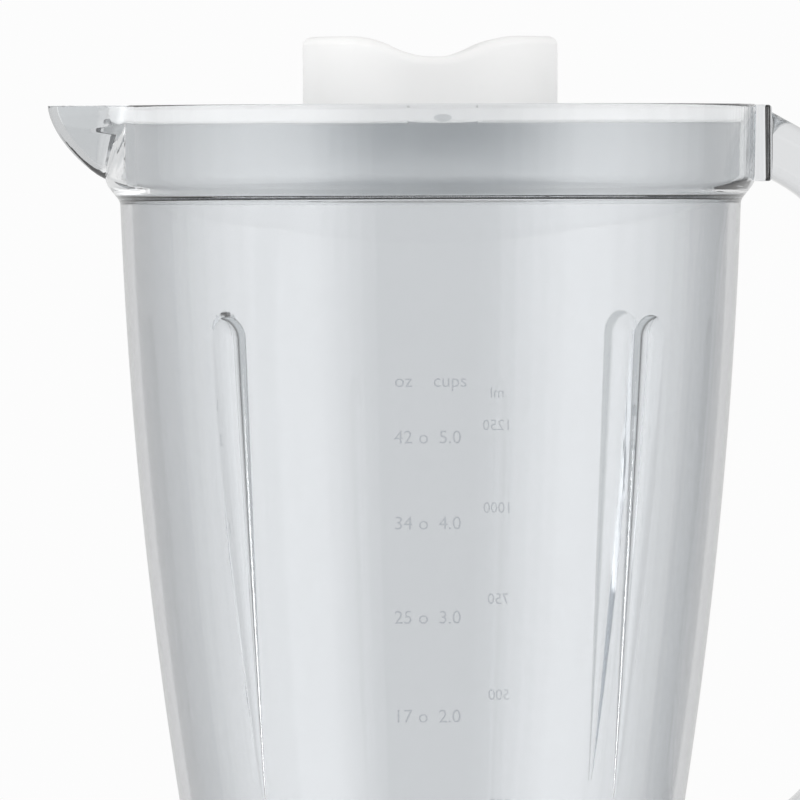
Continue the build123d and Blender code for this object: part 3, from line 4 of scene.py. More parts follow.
import bmesh
import bpy
from mathutils import Matrix, Vector


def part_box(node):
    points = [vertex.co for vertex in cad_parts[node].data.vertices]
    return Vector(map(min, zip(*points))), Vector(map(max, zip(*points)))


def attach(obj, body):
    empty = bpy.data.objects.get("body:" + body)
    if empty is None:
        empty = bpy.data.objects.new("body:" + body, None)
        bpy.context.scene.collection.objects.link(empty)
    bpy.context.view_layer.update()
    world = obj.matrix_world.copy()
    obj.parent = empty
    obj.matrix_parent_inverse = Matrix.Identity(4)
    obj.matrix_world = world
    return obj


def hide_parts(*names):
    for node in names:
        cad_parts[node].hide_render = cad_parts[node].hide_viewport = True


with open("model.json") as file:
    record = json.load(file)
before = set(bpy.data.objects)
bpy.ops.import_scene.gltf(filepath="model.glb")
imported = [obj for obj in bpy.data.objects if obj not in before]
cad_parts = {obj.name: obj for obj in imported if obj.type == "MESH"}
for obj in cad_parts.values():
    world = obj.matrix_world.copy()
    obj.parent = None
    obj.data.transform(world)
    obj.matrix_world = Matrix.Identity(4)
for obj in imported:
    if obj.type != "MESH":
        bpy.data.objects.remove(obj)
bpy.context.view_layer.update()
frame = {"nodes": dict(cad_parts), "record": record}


# Housing: the outer shell of the base, with its round control pad and the screw bosses inside.
# One injection moulding in gloss white plastic: faint flow clouds, and the fine skin of a polished mould.
noise_span = (0.3, 0.7)
glow_radius = (0.002, 0.002, 0.002)


def new_finish(name):
    """A new node material, with its tree and its main shader."""
    material = bpy.data.materials.new(name)
    material.use_nodes = True
    return material, material.node_tree, material.node_tree.nodes["Principled BSDF"]


def dress(material, *names):
    """Gives CAD nodes a material of their own."""
    for name in names:
        slots = frame["nodes"][name].data.materials
        slots.clear()
        slots.append(material)


def settle(material, values):
    """Sets plain inputs of a material's main shader."""
    for label, value in values.items():
        material.node_tree.nodes["Principled BSDF"].inputs[label].default_value = value


def noise_group(name, details):
    """A shader group that puts out layers of noise, each with its own scale and a fixed detail."""
    group = bpy.data.node_groups.new(name, "ShaderNodeTree")
    group.interface.new_socket("Vector", in_out="INPUT", socket_type="NodeSocketVector")
    for layer in details:
        group.interface.new_socket(f"{layer} Scale", in_out="INPUT", socket_type="NodeSocketFloat")
        group.interface.new_socket(layer, in_out="OUTPUT", socket_type="NodeSocketFloat")
    going_in, coming_out = group.nodes.new("NodeGroupInput"), group.nodes.new("NodeGroupOutput")
    for layer, detail in details.items():
        noise = group.nodes.new("ShaderNodeTexNoise")
        noise.inputs["Detail"].default_value = detail
        group.links.new(going_in.outputs["Vector"], noise.inputs["Vector"])
        group.links.new(going_in.outputs[f"{layer} Scale"], noise.inputs["Scale"])
        group.links.new(noise.outputs["Fac"], coming_out.inputs[layer])
    return group


def ranged(tree, value, source, target, kind="LINEAR"):
    """A number that goes over the target range as a value goes over the source range."""
    node = tree.nodes.new("ShaderNodeMapRange")
    node.interpolation_type = kind
    for socket, number in zip(("From Min", "From Max", "To Min", "To Max"), (*source, *target)):
        node.inputs[socket].default_value = number
    tree.links.new(value, node.inputs["Value"])
    return node.outputs["Result"]


def two_tone(tree, value, dark, light):
    """A colour between two, led by a value that swings about one half."""
    ramp = tree.nodes.new("ShaderNodeValToRGB")
    low, high = ramp.color_ramp.elements
    low.position, high.position = noise_span
    low.color, high.color = (*dark, 1), (*light, 1)
    tree.links.new(value, ramp.inputs["Fac"])
    return ramp.outputs["Color"]


def relief(tree, height, depth):
    """A normal bent by a fine relief of the given depth in metres."""
    bump = tree.nodes.new("ShaderNodeBump")
    bump.inputs["Distance"].default_value = depth
    tree.links.new(height, bump.inputs["Height"])
    return bump.outputs["Normal"]


def surfaced(tree, shader, colour, grain, roughness, swing, depth):
    """Gives a main shader its colour, a gloss that swings with the grain, and the grain's relief."""
    gloss = ranged(tree, grain, noise_span, (roughness - swing, roughness + swing))
    tree.links.new(colour, shader.inputs["Base Color"])
    tree.links.new(gloss, shader.inputs["Roughness"])
    tree.links.new(relief(tree, grain, depth), shader.inputs["Normal"])


moulding_skin = noise_group("moulding_skin", {"Cloud": 2.0, "Grain": 4.0})


def skin_on(tree, cloud_scale, grain_scale):
    """The moulding skin placed in a material, read from the piece's own coordinates."""
    place = tree.nodes.new("ShaderNodeTexCoord")
    skin = tree.nodes.new("ShaderNodeGroup")
    skin.node_tree = moulding_skin
    skin.inputs["Cloud Scale"].default_value = cloud_scale
    skin.inputs["Grain Scale"].default_value = grain_scale
    tree.links.new(place.outputs["Object"], skin.inputs["Vector"])
    return skin.outputs["Cloud"], skin.outputs["Grain"]


def moulded(name, dark, light, roughness, swing, grain_scale, depth, cloud_scale=18.0):
    """A moulded, cast or pressed finish: clouds in its colour, grain in its gloss and a fine relief."""
    material, tree, shader = new_finish(name)
    cloud, grain = skin_on(tree, cloud_scale, grain_scale)
    surfaced(tree, shader, two_tone(tree, cloud, dark, light), grain, roughness, swing, depth)
    return material


gloss_white = moulded(
    "gloss_white_plastic", (0.64, 0.64, 0.635), (0.68, 0.68, 0.675),
    roughness=0.24, swing=0.05, grain_scale=900, depth=4e-6,
)
settle(gloss_white, {"Subsurface Weight": 0.05, "Subsurface Radius": glow_radius})
dress(gloss_white, "housing")


# Deck: the jar's seat on top of the base, with its rim, four lugs and the posts that carry the motor.
# A satin pale grey moulding, spark-eroded to hide scratches, pushed into the housing's top.
satin_grey = moulded(
    "satin_grey_plastic", (0.50, 0.51, 0.52), (0.54, 0.55, 0.56),
    roughness=0.45, swing=0.06, grain_scale=2200, depth=1.2e-5,
)
dress(satin_grey, "deck")


# Bottom cover: the vented plate under the base, held by slotted screws.
# A white satin moulding with a coarser grain, since nobody looks at it.
satin_white = moulded(
    "satin_white_plastic", (0.72, 0.73, 0.73), (0.77, 0.78, 0.78),
    roughness=0.48, swing=0.06, grain_scale=1500, depth=1.2e-5,
)
dress(satin_white, "bottom_cover")


# Screws, bolts and nuts: zinc-plated steel, a bright and slightly uneven coat.
# Fine streaks from drawing and tumbling run along every piece.
drawn_lines = noise_group("drawn_lines", {"Line": 3.0})


def metal(name, dark, light, roughness, swing, line_scale, stretch, depth):
    """A metal finish with lines drawn out by the stretch along each axis."""
    material, tree, shader = new_finish(name)
    place = tree.nodes.new("ShaderNodeTexCoord")
    drawn = tree.nodes.new("ShaderNodeMapping")
    drawn.inputs["Scale"].default_value = stretch
    lines = tree.nodes.new("ShaderNodeGroup")
    lines.node_tree = drawn_lines
    lines.inputs["Line Scale"].default_value = line_scale
    tree.links.new(place.outputs["Object"], drawn.inputs["Vector"])
    tree.links.new(drawn.outputs["Vector"], lines.inputs["Vector"])
    line = lines.outputs["Line"]
    surfaced(tree, shader, two_tone(tree, line, dark, light), line, roughness, swing, depth)
    settle(material, {"Metallic": 1})
    return material


zinc = metal(
    "zinc_plate", (0.52, 0.54, 0.57), (0.68, 0.69, 0.70),
    roughness=0.32, swing=0.08, line_scale=300, stretch=(1, 1, 3), depth=4e-6,
)
dress(zinc, "cover_screws", "motor_screws", "stator_bolts", "stator_nuts", "collar_screws", "switch_nut")


# Feet, cord gland, dampers and seals: black rubber, pressed dull, pushed or squeezed into place.
# The feet stand on the counter; the gland lines the hole that a lead would pass.
rubber = moulded(
    "black_rubber", (0.018, 0.018, 0.019), (0.034, 0.034, 0.036),
    roughness=0.68, swing=0.08, grain_scale=1900, depth=2.5e-5,
)
dress(rubber, "foot_right", "foot_back", "foot_left", "foot_front", "cord_gland")
dress(rubber, "shaft_seal", "motor_dampers", "blade_seal")


# Motor brackets: two cast aluminium end plates, bolted together over the stator.
# Die cast and left raw, with the dull cloudy skin that casting gives.
cast_skin = moulded(
    "cast_aluminium", (0.48, 0.48, 0.49), (0.62, 0.62, 0.63),
    roughness=0.46, swing=0.10, grain_scale=1300, depth=2e-5, cloud_scale=60.0,
)
settle(cast_skin, {"Metallic": 1})
dress(cast_skin, "upper_bracket", "lower_bracket")


# Bearings and motor shaft: ground bearing steel, turned, so its lines run round the axis.
# The bearings are pressed into the brackets; the shaft runs in both.
turned_stretch = (0.2, 0.2, 40)
ground_steel = metal(
    "ground_steel", (0.56, 0.57, 0.58), (0.70, 0.71, 0.72),
    roughness=0.20, swing=0.06, line_scale=90, stretch=turned_stretch, depth=2e-6,
)
dress(ground_steel, "upper_bearing", "lower_bearing", "motor_shaft")


# Stator and armature cores: stacks of varnished steel sheets, each half a millimetre thick.
# The sheets' edges show as fine dark and light lines up the stack.
layer_swing, layer_waver = 0.08, 0.4


def layered(name, dark, light, direction, pitch, roughness, depth):
    """A finish of fine parallel layers or turns, one pitch apart along an axis."""
    material, tree, shader = new_finish(name)
    place = tree.nodes.new("ShaderNodeTexCoord")
    bands = tree.nodes.new("ShaderNodeTexWave")
    bands.bands_direction = direction
    bands.inputs["Scale"].default_value = pi / (10 * pitch)
    bands.inputs["Distortion"].default_value = layer_waver
    tree.links.new(place.outputs["Object"], bands.inputs["Vector"])
    band = bands.outputs["Fac"]
    surfaced(tree, shader, two_tone(tree, band, dark, light), band, roughness, layer_swing, depth)
    return material


sheet_stack = layered(
    "varnished_sheets", (0.10, 0.10, 0.11), (0.26, 0.26, 0.27),
    direction="Z", pitch=0.0005, roughness=0.42, depth=5e-5,
)
settle(sheet_stack, {"Metallic": 1})
dress(sheet_stack, "stator_core", "armature_core")


# Field coils, armature winding and commutator: copper, enamelled on the wires and bare on the bars.
# The turns of wire lie side by side, so the coils are ribbed at the wire's pitch.
wire_turns = layered(
    "enamelled_wire", (0.34, 0.12, 0.05), (0.62, 0.27, 0.11),
    direction="X", pitch=0.0007, roughness=0.28, depth=1.2e-4,
)
settle(wire_turns, {"Coat Weight": 0.5})
dress(wire_turns, "field_coils", "armature_winding")
bare_copper = metal(
    "bare_copper", (0.62, 0.30, 0.17), (0.76, 0.42, 0.27),
    roughness=0.26, swing=0.06, line_scale=90, stretch=turned_stretch, depth=2e-6,
)
dress(bare_copper, "commutator")


# Brush gear, switch, fan and clutch: carbon brushes in black channels, each pressed on by a leaf spring.
# Pressed carbon is dull and speckled; the holders, the switch, the fan and both clutch halves are black
# mouldings, and the springs and the switch's shaft are drawn steel.
carbon = moulded(
    "pressed_carbon", (0.012, 0.012, 0.013), (0.040, 0.040, 0.042),
    roughness=0.60, swing=0.10, grain_scale=3000, depth=1e-5,
)
dress(carbon, "carbon_brushes")
black_plastic = moulded(
    "black_plastic", (0.020, 0.020, 0.021), (0.030, 0.030, 0.032),
    roughness=0.42, swing=0.06, grain_scale=1800, depth=1e-5,
)
dress(black_plastic, "brush_holders", "switch_body", "cooling_fan", "drive_coupling", "driven_coupling")
spring_steel = metal(
    "spring_steel", (0.42, 0.42, 0.42), (0.56, 0.55, 0.53),
    roughness=0.28, swing=0.05, line_scale=400, stretch=(1, 8, 1), depth=2e-6,
)
dress(spring_steel, "brush_springs", "switch_shaft")


# Speed knob: a white moulding with a grip bar, pushed onto the switch's shaft.
# A raised grey bar along the grip points at the chosen speed.
scene = bpy.context.scene
joints = {joint["name"]: joint for joint in frame["record"]["behaviour"]["joints"]}
dial_out = Vector(joints["knob_turn"]["axis"]).normalized()
dial_right = Vector((1, 0, 0))
dial_place = Matrix((dial_right, dial_out.cross(dial_right), dial_out)).transposed().to_4x4()
dial_place.translation = Vector(joints["knob_turn"]["pos_m"])
knob_top = 0.015
pointer_width, pointer_length, pointer_proud = 0.0016, 0.009, 0.0004
pointer_middle = 0.0105
edge_steps = 3


def loose_object(name, bm):
    """A mesh as an object of the scene."""
    mesh = bpy.data.meshes.new(name)
    bm.to_mesh(mesh)
    bm.free()
    piece = bpy.data.objects.new(name, mesh)
    scene.collection.objects.link(piece)
    return piece


def new_piece(name, bm, material, body):
    """A finished mesh as a piece with a material, riding on a body."""
    piece = loose_object(name, bm)
    piece.data.materials.append(material)
    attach(piece, body)
    return piece


def block(size, middle):
    """A plain block as a new mesh."""
    bm = bmesh.new()
    bmesh.ops.create_cube(bm, size=1.0, matrix=Matrix.Translation(middle) @ Matrix.Diagonal((*size, 1)))
    return bm


def rounded(bm, geom, kind, cut, steps):
    """Rounds off corners or edges of a mesh."""
    bmesh.ops.bevel(bm, geom=geom, affect=kind, offset=cut, segments=steps, profile=0.5, material=-1)


dress(gloss_white, "speed_knob")
marking_grey = moulded(
    "marking_grey", (0.16, 0.165, 0.17), (0.21, 0.215, 0.22),
    roughness=0.45, swing=0.06, grain_scale=2000, depth=6e-6,
)
bm = block((pointer_width, pointer_length, 2 * pointer_proud), (0, pointer_middle, knob_top))
rounded(bm, bm.edges[:], "EDGES", pointer_proud / 2, edge_steps)
bmesh.ops.transform(bm, matrix=dial_place, verts=bm.verts)
new_piece("knob_pointer", bm, marking_grey, "knob")


# Dial marks: plain numbers round the knob, and a ring for the hold-to-run place, printed on the pad.
# A thin raised ink, so they stand a hair proud of the housing.
dial_marks = {0: "0", -40: "1", -80: "2", 40: "o"}
dial_mark_radius = 0.0236
dial_mark_size = 0.0052
ink_proud = 0.00012
letter_curve_steps = 4


def add_lettering(bm, words, size, thickness, place):
    """Adds a number or unit to a mesh at a place, and returns its vertices."""
    curve = bpy.data.curves.new("lettering", "FONT")
    curve.body = words
    curve.size = size
    curve.align_x, curve.align_y = "CENTER", "CENTER"
    curve.extrude = thickness
    curve.resolution_u = letter_curve_steps
    holder = bpy.data.objects.new("lettering", curve)
    mesh = bpy.data.meshes.new_from_object(holder)
    bpy.data.objects.remove(holder)
    bpy.data.curves.remove(curve)
    mesh.transform(place)
    before = len(bm.verts)
    bm.from_mesh(mesh)
    bpy.data.meshes.remove(mesh)
    bm.verts.ensure_lookup_table()
    return bm.verts[before:]


bm = bmesh.new()
for angle, words in dial_marks.items():
    around = radians(angle)
    middle = Vector((-sin(around), cos(around), 0)) * dial_mark_radius
    add_lettering(bm, words, dial_mark_size, ink_proud, Matrix.Translation(middle))
bmesh.ops.transform(bm, matrix=dial_place, verts=bm.verts)
new_piece("dial_marks", bm, marking_grey, "base")


# Jar collar: the opaque foot that the clear jar is screwed into, with notches for the deck's lugs.
# A gloss white moulding like the housing.
dress(gloss_white, "jar_collar")


# Jar: one clear moulding with a mouth band, pouring spout, four inner ribs, two handle pads and a floor.
# Made here as turned outlines, joined and cut, and finer than the CAD solid, so that it bends light cleanly.
# The plastic is faintly blue-grey, deepest where the eye meets it at a slant, and that deepening is partly
# painted shade that darkens its edges.
shaft_low, shaft_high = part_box("motor_shaft")
axis_x, axis_y = (shaft_low.x + shaft_high.x) / 2, (shaft_low.y + shaft_high.y) / 2
to_axis = Matrix.Translation((axis_x, axis_y, 0))
rim_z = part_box("jar")[1].z
jar_depth, jar_floor, jar_wall = 0.198, 0.004, 0.0026
floor_hole_radius, floor_round = 0.0173, 0.009
neck_radius, neck_wall, neck_height = 0.045, 0.005, 0.012
side_top_radius, side_foot_radius, side_bow = 0.0707, 0.0499, 0.00357
mouth_radius, mouth_wall, mouth_draft = 0.0745, 0.003, 0.0004
mouth_height, shoulder_height, ledge_depth = 0.0176, 0.0042, 0.0205
rim_round, shoulder_round = 0.0008, 0.0016
floor_z = rim_z - jar_depth
floor_under_z = floor_z - jar_floor
neck_foot_z = floor_under_z - neck_height
shoulder_z = rim_z - mouth_height
side_top_z = shoulder_z - shoulder_height
ledge_z = rim_z - ledge_depth
turn_steps, side_steps, corner_steps = 240, 30, 6
past = 0.001
weld = 1e-7


def side_radius(z):
    """Outer radius of the jar's side at a height: one shallow arc from the shoulder to the floor."""
    chord = hypot(side_top_radius - side_foot_radius, side_top_z - floor_under_z)
    radius = (chord**2 / 4 + side_bow**2) / (2 * side_bow)
    out_x, out_z = (side_top_z - floor_under_z) / chord, -(side_top_radius - side_foot_radius) / chord
    middle_x, middle_z = (side_top_radius + side_foot_radius) / 2, (side_top_z + floor_under_z) / 2
    centre_x, centre_z = middle_x + (side_bow - radius) * out_x, middle_z + (side_bow - radius) * out_z
    return centre_x + sqrt(radius**2 - (z - centre_z) ** 2)


def side_points(high, low, inset):
    """Points down the jar's side between two heights, moved in by an inset."""
    heights = [high + (low - high) * n / side_steps for n in range(side_steps + 1)]
    return [(side_radius(z) - inset, z) for z in heights]


def turned(name, outline, rounds=()):
    """A closed outline beside or along the drive axis, its chosen corners rounded, turned into a solid."""
    bm = bmesh.new()
    bm.faces.new([bm.verts.new((x, 0, z)) for x, z in outline])
    for (x, z), cut in rounds:
        corner = min(bm.verts, key=lambda vert: hypot(vert.co.x - x, vert.co.z - z))
        rounded(bm, [corner], "VERTICES", cut, corner_steps)
    bmesh.ops.delete(bm, geom=bm.faces[:], context="FACES_ONLY")
    on_axis = [edge for edge in bm.edges if all(vert.co.x < weld for vert in edge.verts)]
    bmesh.ops.delete(bm, geom=on_axis, context="EDGES")
    bmesh.ops.spin(
        bm, geom=bm.verts[:] + bm.edges[:], axis=(0, 0, 1), cent=(0, 0, 0),
        angle=2 * pi, steps=turn_steps, use_merge=True,
    )
    bmesh.ops.remove_doubles(bm, verts=bm.verts, dist=weld)
    bmesh.ops.recalc_face_normals(bm, faces=bm.faces)
    return loose_object(name, bm)


def combine(piece, tool, operation):
    """Joins, cuts or limits a mesh by another one, which is used up."""
    step = piece.modifiers.new(operation, "BOOLEAN")
    step.operation = operation
    step.solver = "MANIFOLD"
    step.object = tool
    graph = bpy.context.evaluated_depsgraph_get()
    mesh = bpy.data.meshes.new_from_object(piece.evaluated_get(graph))
    piece.modifiers.clear()
    piece.data = mesh
    bpy.data.objects.remove(tool)
    return piece


def extrude_on(bm, face, matrix):
    """Pulls a face out of a mesh, moved by a matrix, and returns it."""
    buried = any(len(edge.link_faces) > 1 for edge in face.edges)
    made = bmesh.ops.extrude_face_region(bm, geom=[face])["geom"]
    verts = [part for part in made if isinstance(part, bmesh.types.BMVert)]
    bmesh.ops.transform(bm, matrix=matrix, verts=verts)
    if buried:
        bmesh.ops.delete(bm, geom=[face], context="FACES_ONLY")
    return next(part for part in made if isinstance(part, bmesh.types.BMFace))


def jar_outside(name):
    """The jar's outer form without spout or pads, as a full solid."""
    rim, shoulder = (mouth_radius, rim_z), (mouth_radius - mouth_draft, shoulder_z)
    side = side_points(side_top_z, floor_under_z, 0)
    neck = [(neck_radius, floor_under_z), (neck_radius, neck_foot_z), (0, neck_foot_z)]
    rounds = [(rim, rim_round), (shoulder, shoulder_round), (side[0], rim_round)]
    return turned(name, [(0, rim_z), rim, shoulder, *side, *neck], rounds)


def jar_inside(name):
    """The jar's hollow, open above the rim."""
    inner = mouth_radius - mouth_wall
    side = side_points(ledge_z, floor_z, jar_wall)
    corner, floor_corner = (inner, ledge_z), side[-1]
    top = [(0, rim_z + past), (inner, rim_z + past), corner]
    rounds = [(corner, rim_round), (side[0], rim_round), (floor_corner, floor_round)]
    return turned(name, [*top, *side, (0, floor_z)], rounds)


# The spout is drawn down from the rim, each level narrower, about a line inside the mouth.
spout_reach, spout_depth, spout_flare = 0.0874, 0.0168, 1.37
spout_top_bow, spout_foot_bow = 1.7, 0.85
spout_tip_cut, spout_tip_steps = 0.0040, 10
spout_tip_gain, spout_gain_loss = 0.0011, 0.55
spout_root = 0.060
spout_levels = 14


def spout_reach_at(depth):
    """How far the spout stands out at a depth below the rim: a bow-shaped curve."""
    share = min(1.0, max(0.0, depth / spout_depth))
    root = mouth_radius - mouth_draft
    return root + (spout_reach - root) * (1.0 - share**spout_top_bow) ** spout_foot_bow


def spout_form(name, inset, depth, rise):
    """The spout's pointed form, moved in by an inset, from above the rim down to a depth."""
    def tip(level):
        gain = spout_tip_gain * (1 - spout_gain_loss * level / depth)
        return spout_reach_at(level * (depth + inset) / depth) - inset + gain

    bm = bmesh.new()
    half = (tip(0) - spout_root) * spout_flare
    corners = [(-tip(0), 0), (-spout_root, -half), (-spout_root, half)]
    bm.faces.new([bm.verts.new((x, y, rim_z + rise)) for x, y in corners])
    point = min(bm.verts, key=lambda vert: vert.co.x)
    rounded(bm, [point], "VERTICES", spout_tip_cut, spout_tip_steps)
    face = bm.faces[:][0]
    face = extrude_on(bm, face, Matrix.Translation((0, 0, -rise))) if rise else face
    to_root = Matrix.Translation((-spout_root, 0, 0))
    for n in range(spout_levels):
        high, low = depth * n / spout_levels, depth * (n + 1) / spout_levels
        narrower = (tip(low) - spout_root) / (tip(high) - spout_root)
        scale = to_root @ Matrix.Diagonal((narrower, narrower, 1, 1)) @ to_root.inverted()
        face = extrude_on(bm, face, Matrix.Translation((0, 0, high - low)) @ scale)
    bmesh.ops.recalc_face_normals(bm, faces=bm.faces)
    return loose_object(name, bm)


# Two pads carry the handle, one on the mouth band and one near the jar's foot.
handle_width, handle_thickness = 0.022, 0.0133
half_width, half_thickness = handle_width / 2, handle_thickness / 2
pad_x = mouth_radius + 0.0029
lower_pad_reach, lower_pad_depth = 0.058, 0.17426
lower_pad_z = rim_z - lower_pad_depth
pad_side_round, pad_edge_round, pad_gap = 0.0028, 0.0008, 0.0002
pad_side_steps = 8
sharp_angle = 1


def pad(name, reach, low, high):
    """A block on the jar that one end of the handle is welded to."""
    bm = block((reach, handle_width, high - low), (reach / 2, 0, (low + high) / 2))
    upright = [edge for edge in bm.edges if abs(edge.verts[0].co.z - edge.verts[1].co.z) > past]
    rounded(bm, upright, "EDGES", pad_side_round, pad_side_steps)
    level = [edge for edge in bm.edges if edge.calc_face_angle() > sharp_angle]
    rounded(bm, level, "EDGES", pad_edge_round, edge_steps)
    return loose_object(name, bm)


# Four ribs stand on the inside of the wall: a round top end, running out to a point below.
rib_angle = radians(45.8)
rib_top_depth, rib_foot_depth = 0.0527, 0.156
rib_top_z, rib_foot_z = rim_z - rib_top_depth, rim_z - rib_foot_depth
rib_top_radius, rib_foot_radius, rib_sink = 0.0069, 0.0007, 0.674
rib_sides = 48


def rib(name, angle):
    """One inner rib, lying along the wall's inner face."""
    top = Vector((side_radius(rib_top_z) - jar_wall + rib_top_radius * rib_sink, 0, rib_top_z))
    foot = Vector((side_radius(rib_foot_z) - jar_wall + rib_foot_radius * rib_sink, 0, rib_foot_z))
    along = top - foot
    bm = bmesh.new()
    lean = along.to_track_quat("Z", "Y").to_matrix().to_4x4()
    bmesh.ops.create_cone(
        bm, cap_ends=True, segments=rib_sides, radius1=rib_foot_radius, radius2=rib_top_radius,
        depth=along.length, matrix=Matrix.Translation((top + foot) / 2) @ lean,
    )
    cone = loose_object(name, bm)
    bm = bmesh.new()
    bmesh.ops.create_uvsphere(
        bm, u_segments=rib_sides, v_segments=rib_sides // 2, radius=rib_top_radius,
        matrix=Matrix.Translation(top) @ lean,
    )
    whole = combine(cone, loose_object("rib_end", bm), "UNION")
    whole.data.transform(Matrix.Rotation(angle, 4, "Z"))
    return combine(whole, jar_outside("rib_limit"), "INTERSECT")


clear_crease = radians(32)


def shade_smooth(piece, crease):
    """Smooth shading, broken where faces meet at more than an angle."""
    bm = bmesh.new()
    bm.from_mesh(piece.data)
    for face in bm.faces:
        face.smooth = True
    for edge in bm.edges:
        edge.smooth = edge.calc_face_angle(pi) < crease
    bm.to_mesh(piece.data)
    bm.free()


jar = combine(jar_outside("jar_moulding"), spout_form("spout", 0, spout_depth, 0), "UNION")
jar = combine(jar, pad("upper_pad", pad_x, shoulder_z, rim_z - pad_gap), "UNION")
lower_pad = pad("lower_pad", lower_pad_reach, lower_pad_z - half_thickness, lower_pad_z + half_thickness)
jar = combine(jar, lower_pad, "UNION")
hollow = combine(jar_inside("hollow"), spout_form("channel", jar_wall, spout_depth - jar_wall, past), "UNION")
for n, angle in enumerate((rib_angle, pi - rib_angle, pi + rib_angle, -rib_angle)):
    hollow = combine(hollow, rib(f"rib_{n}", angle), "DIFFERENCE")
jar = combine(jar, hollow, "DIFFERENCE")
neck_inner = neck_radius - neck_wall
under = [(0, neck_foot_z - past), (neck_inner, neck_foot_z - past), (neck_inner, floor_under_z)]
under += [(floor_hole_radius, floor_under_z), (floor_hole_radius, floor_z + past), (0, floor_z + past)]
jar = combine(jar, turned("under_side", under), "DIFFERENCE")
jar.data.transform(to_axis)
shade_smooth(jar, clear_crease)

# Light that has been thrown about in the plastic for a number of bounces goes straight on, and so do lamps.
thick_bounces, mark_bounces, thin_bounces = 7.5, 4.5, 1.5
thick_caught, thin_caught = (0.58, 0.60, 0.62), (0.85, 0.86, 0.865)
lamp_tint = (0.90, 0.91, 0.92)
clear_edge_shade_share = 0.45
clear_slant = (0.25, 1.0)
clear_cloud_scale, clear_grain_scale, clear_relief = 22.0, 160.0, 3e-6
clear_cloud_share = 0.99
plastic_ior = 1.5


def facing(tree):
    """How far a surface turns away from the eye: nought when it is met square on, one at its edge."""
    slant = tree.nodes.new("ShaderNodeLayerWeight")
    slant.inputs["Blend"].default_value = 0.5
    return slant.outputs["Facing"]


def soft_step(tree, value, low, high, start=0.0, end=1.0):
    """A number that goes softly from start to end as a value goes from low to high."""
    return ranged(tree, value, (low, high), (start, end), "SMOOTHSTEP")


def tinted(tree, share, first, second):
    """A colour between two others, either of which may be fixed."""
    node = tree.nodes.new("ShaderNodeMixRGB")
    tree.links.new(share, node.inputs["Fac"])
    for socket, colour in (("Color1", first), ("Color2", second)):
        if isinstance(colour, tuple):
            node.inputs[socket].default_value = (*colour, 1)
        else:
            tree.links.new(colour, node.inputs[socket])
    return node.outputs["Color"]


def sum_up(tree, operation, first, second, clamp=False):
    """The outcome of a sum with two numbers of a tree."""
    node = tree.nodes.new("ShaderNodeMath")
    node.operation, node.use_clamp = operation, clamp
    tree.links.new(first, node.inputs[0])
    tree.links.new(second, node.inputs[1])
    return node.outputs[0]


def let_through(tree, share, surface, name, colour):
    """A surface that lets light straight through by a share, in a tint set on a named node."""
    straight = tree.nodes.new("ShaderNodeBsdfTransparent")
    straight.name = name
    straight.inputs["Color"].default_value = (*colour, 1)
    choice = tree.nodes.new("ShaderNodeMixShader")
    tree.links.new(share, choice.inputs["Fac"])
    tree.links.new(surface, choice.inputs[1])
    tree.links.new(straight.outputs["BSDF"], choice.inputs[2])
    return choice.outputs["Shader"]


def clear_finish(name, tint, edge_shade_share, roughness, swing, bounces, caught_tint):
    """Clear plastic, deeper in tint where it is seen at a slant, partly because the way through the wall is
    longer and partly as painted shade at its edges.
    """
    material, tree, shader = new_finish(name)
    cloud, grain = skin_on(tree, clear_cloud_scale, clear_grain_scale)
    square_on = two_tone(tree, cloud, tuple(c * clear_cloud_share for c in tint), tint)
    # Partly painted shade: towards the edges the colour darkens to a share of the tint.
    edge_shaded = tuple(c * edge_shade_share for c in tint)
    colour = tinted(tree, soft_step(tree, facing(tree), *clear_slant), square_on, edge_shaded)
    surfaced(tree, shader, colour, grain, roughness, swing, clear_relief)
    settle(material, {"Transmission Weight": 1, "IOR": plastic_ior})
    path = tree.nodes.new("ShaderNodeLightPath")
    caught = tree.nodes.new("ShaderNodeMath")
    caught.name = "caught"
    caught.operation = "GREATER_THAN"
    caught.inputs[1].default_value = bounces
    tree.links.new(path.outputs["Ray Depth"], caught.inputs[0])
    surface = let_through(tree, caught.outputs[0], shader.outputs["BSDF"], "caught_light", caught_tint)
    surface = let_through(tree, path.outputs["Is Shadow Ray"], surface, "lamp_light", lamp_tint)
    tree.links.new(surface, tree.nodes["Material Output"].inputs["Surface"])
    return material


clear_plastic = clear_finish(
    "clear_plastic", (0.775, 0.789, 0.803), clear_edge_shade_share,
    roughness=0.018, swing=0.008, bounces=thick_bounces, caught_tint=thick_caught,
)
tree = clear_plastic.node_tree
base_colour = tree.nodes["Principled BSDF"].inputs["Base Color"]
place = tree.nodes.new("ShaderNodeTexCoord").outputs["Object"]
from_axis = tree.nodes.new("ShaderNodeVectorMath")
from_axis.operation = "MULTIPLY_ADD"
from_axis.inputs[1].default_value = (1, 1, 0)
from_axis.inputs[2].default_value = (-axis_x, -axis_y, 0)
length = tree.nodes.new("ShaderNodeVectorMath")
length.operation = "LENGTH"
apart = tree.nodes.new("ShaderNodeSeparateXYZ")
tree.links.new(place, from_axis.inputs[0])
tree.links.new(from_axis.outputs["Vector"], length.inputs[0])
tree.links.new(place, apart.inputs["Vector"])
off_axis, sideways, height = length.outputs["Value"], apart.outputs["X"], apart.outputs["Z"]
slant = facing(tree)
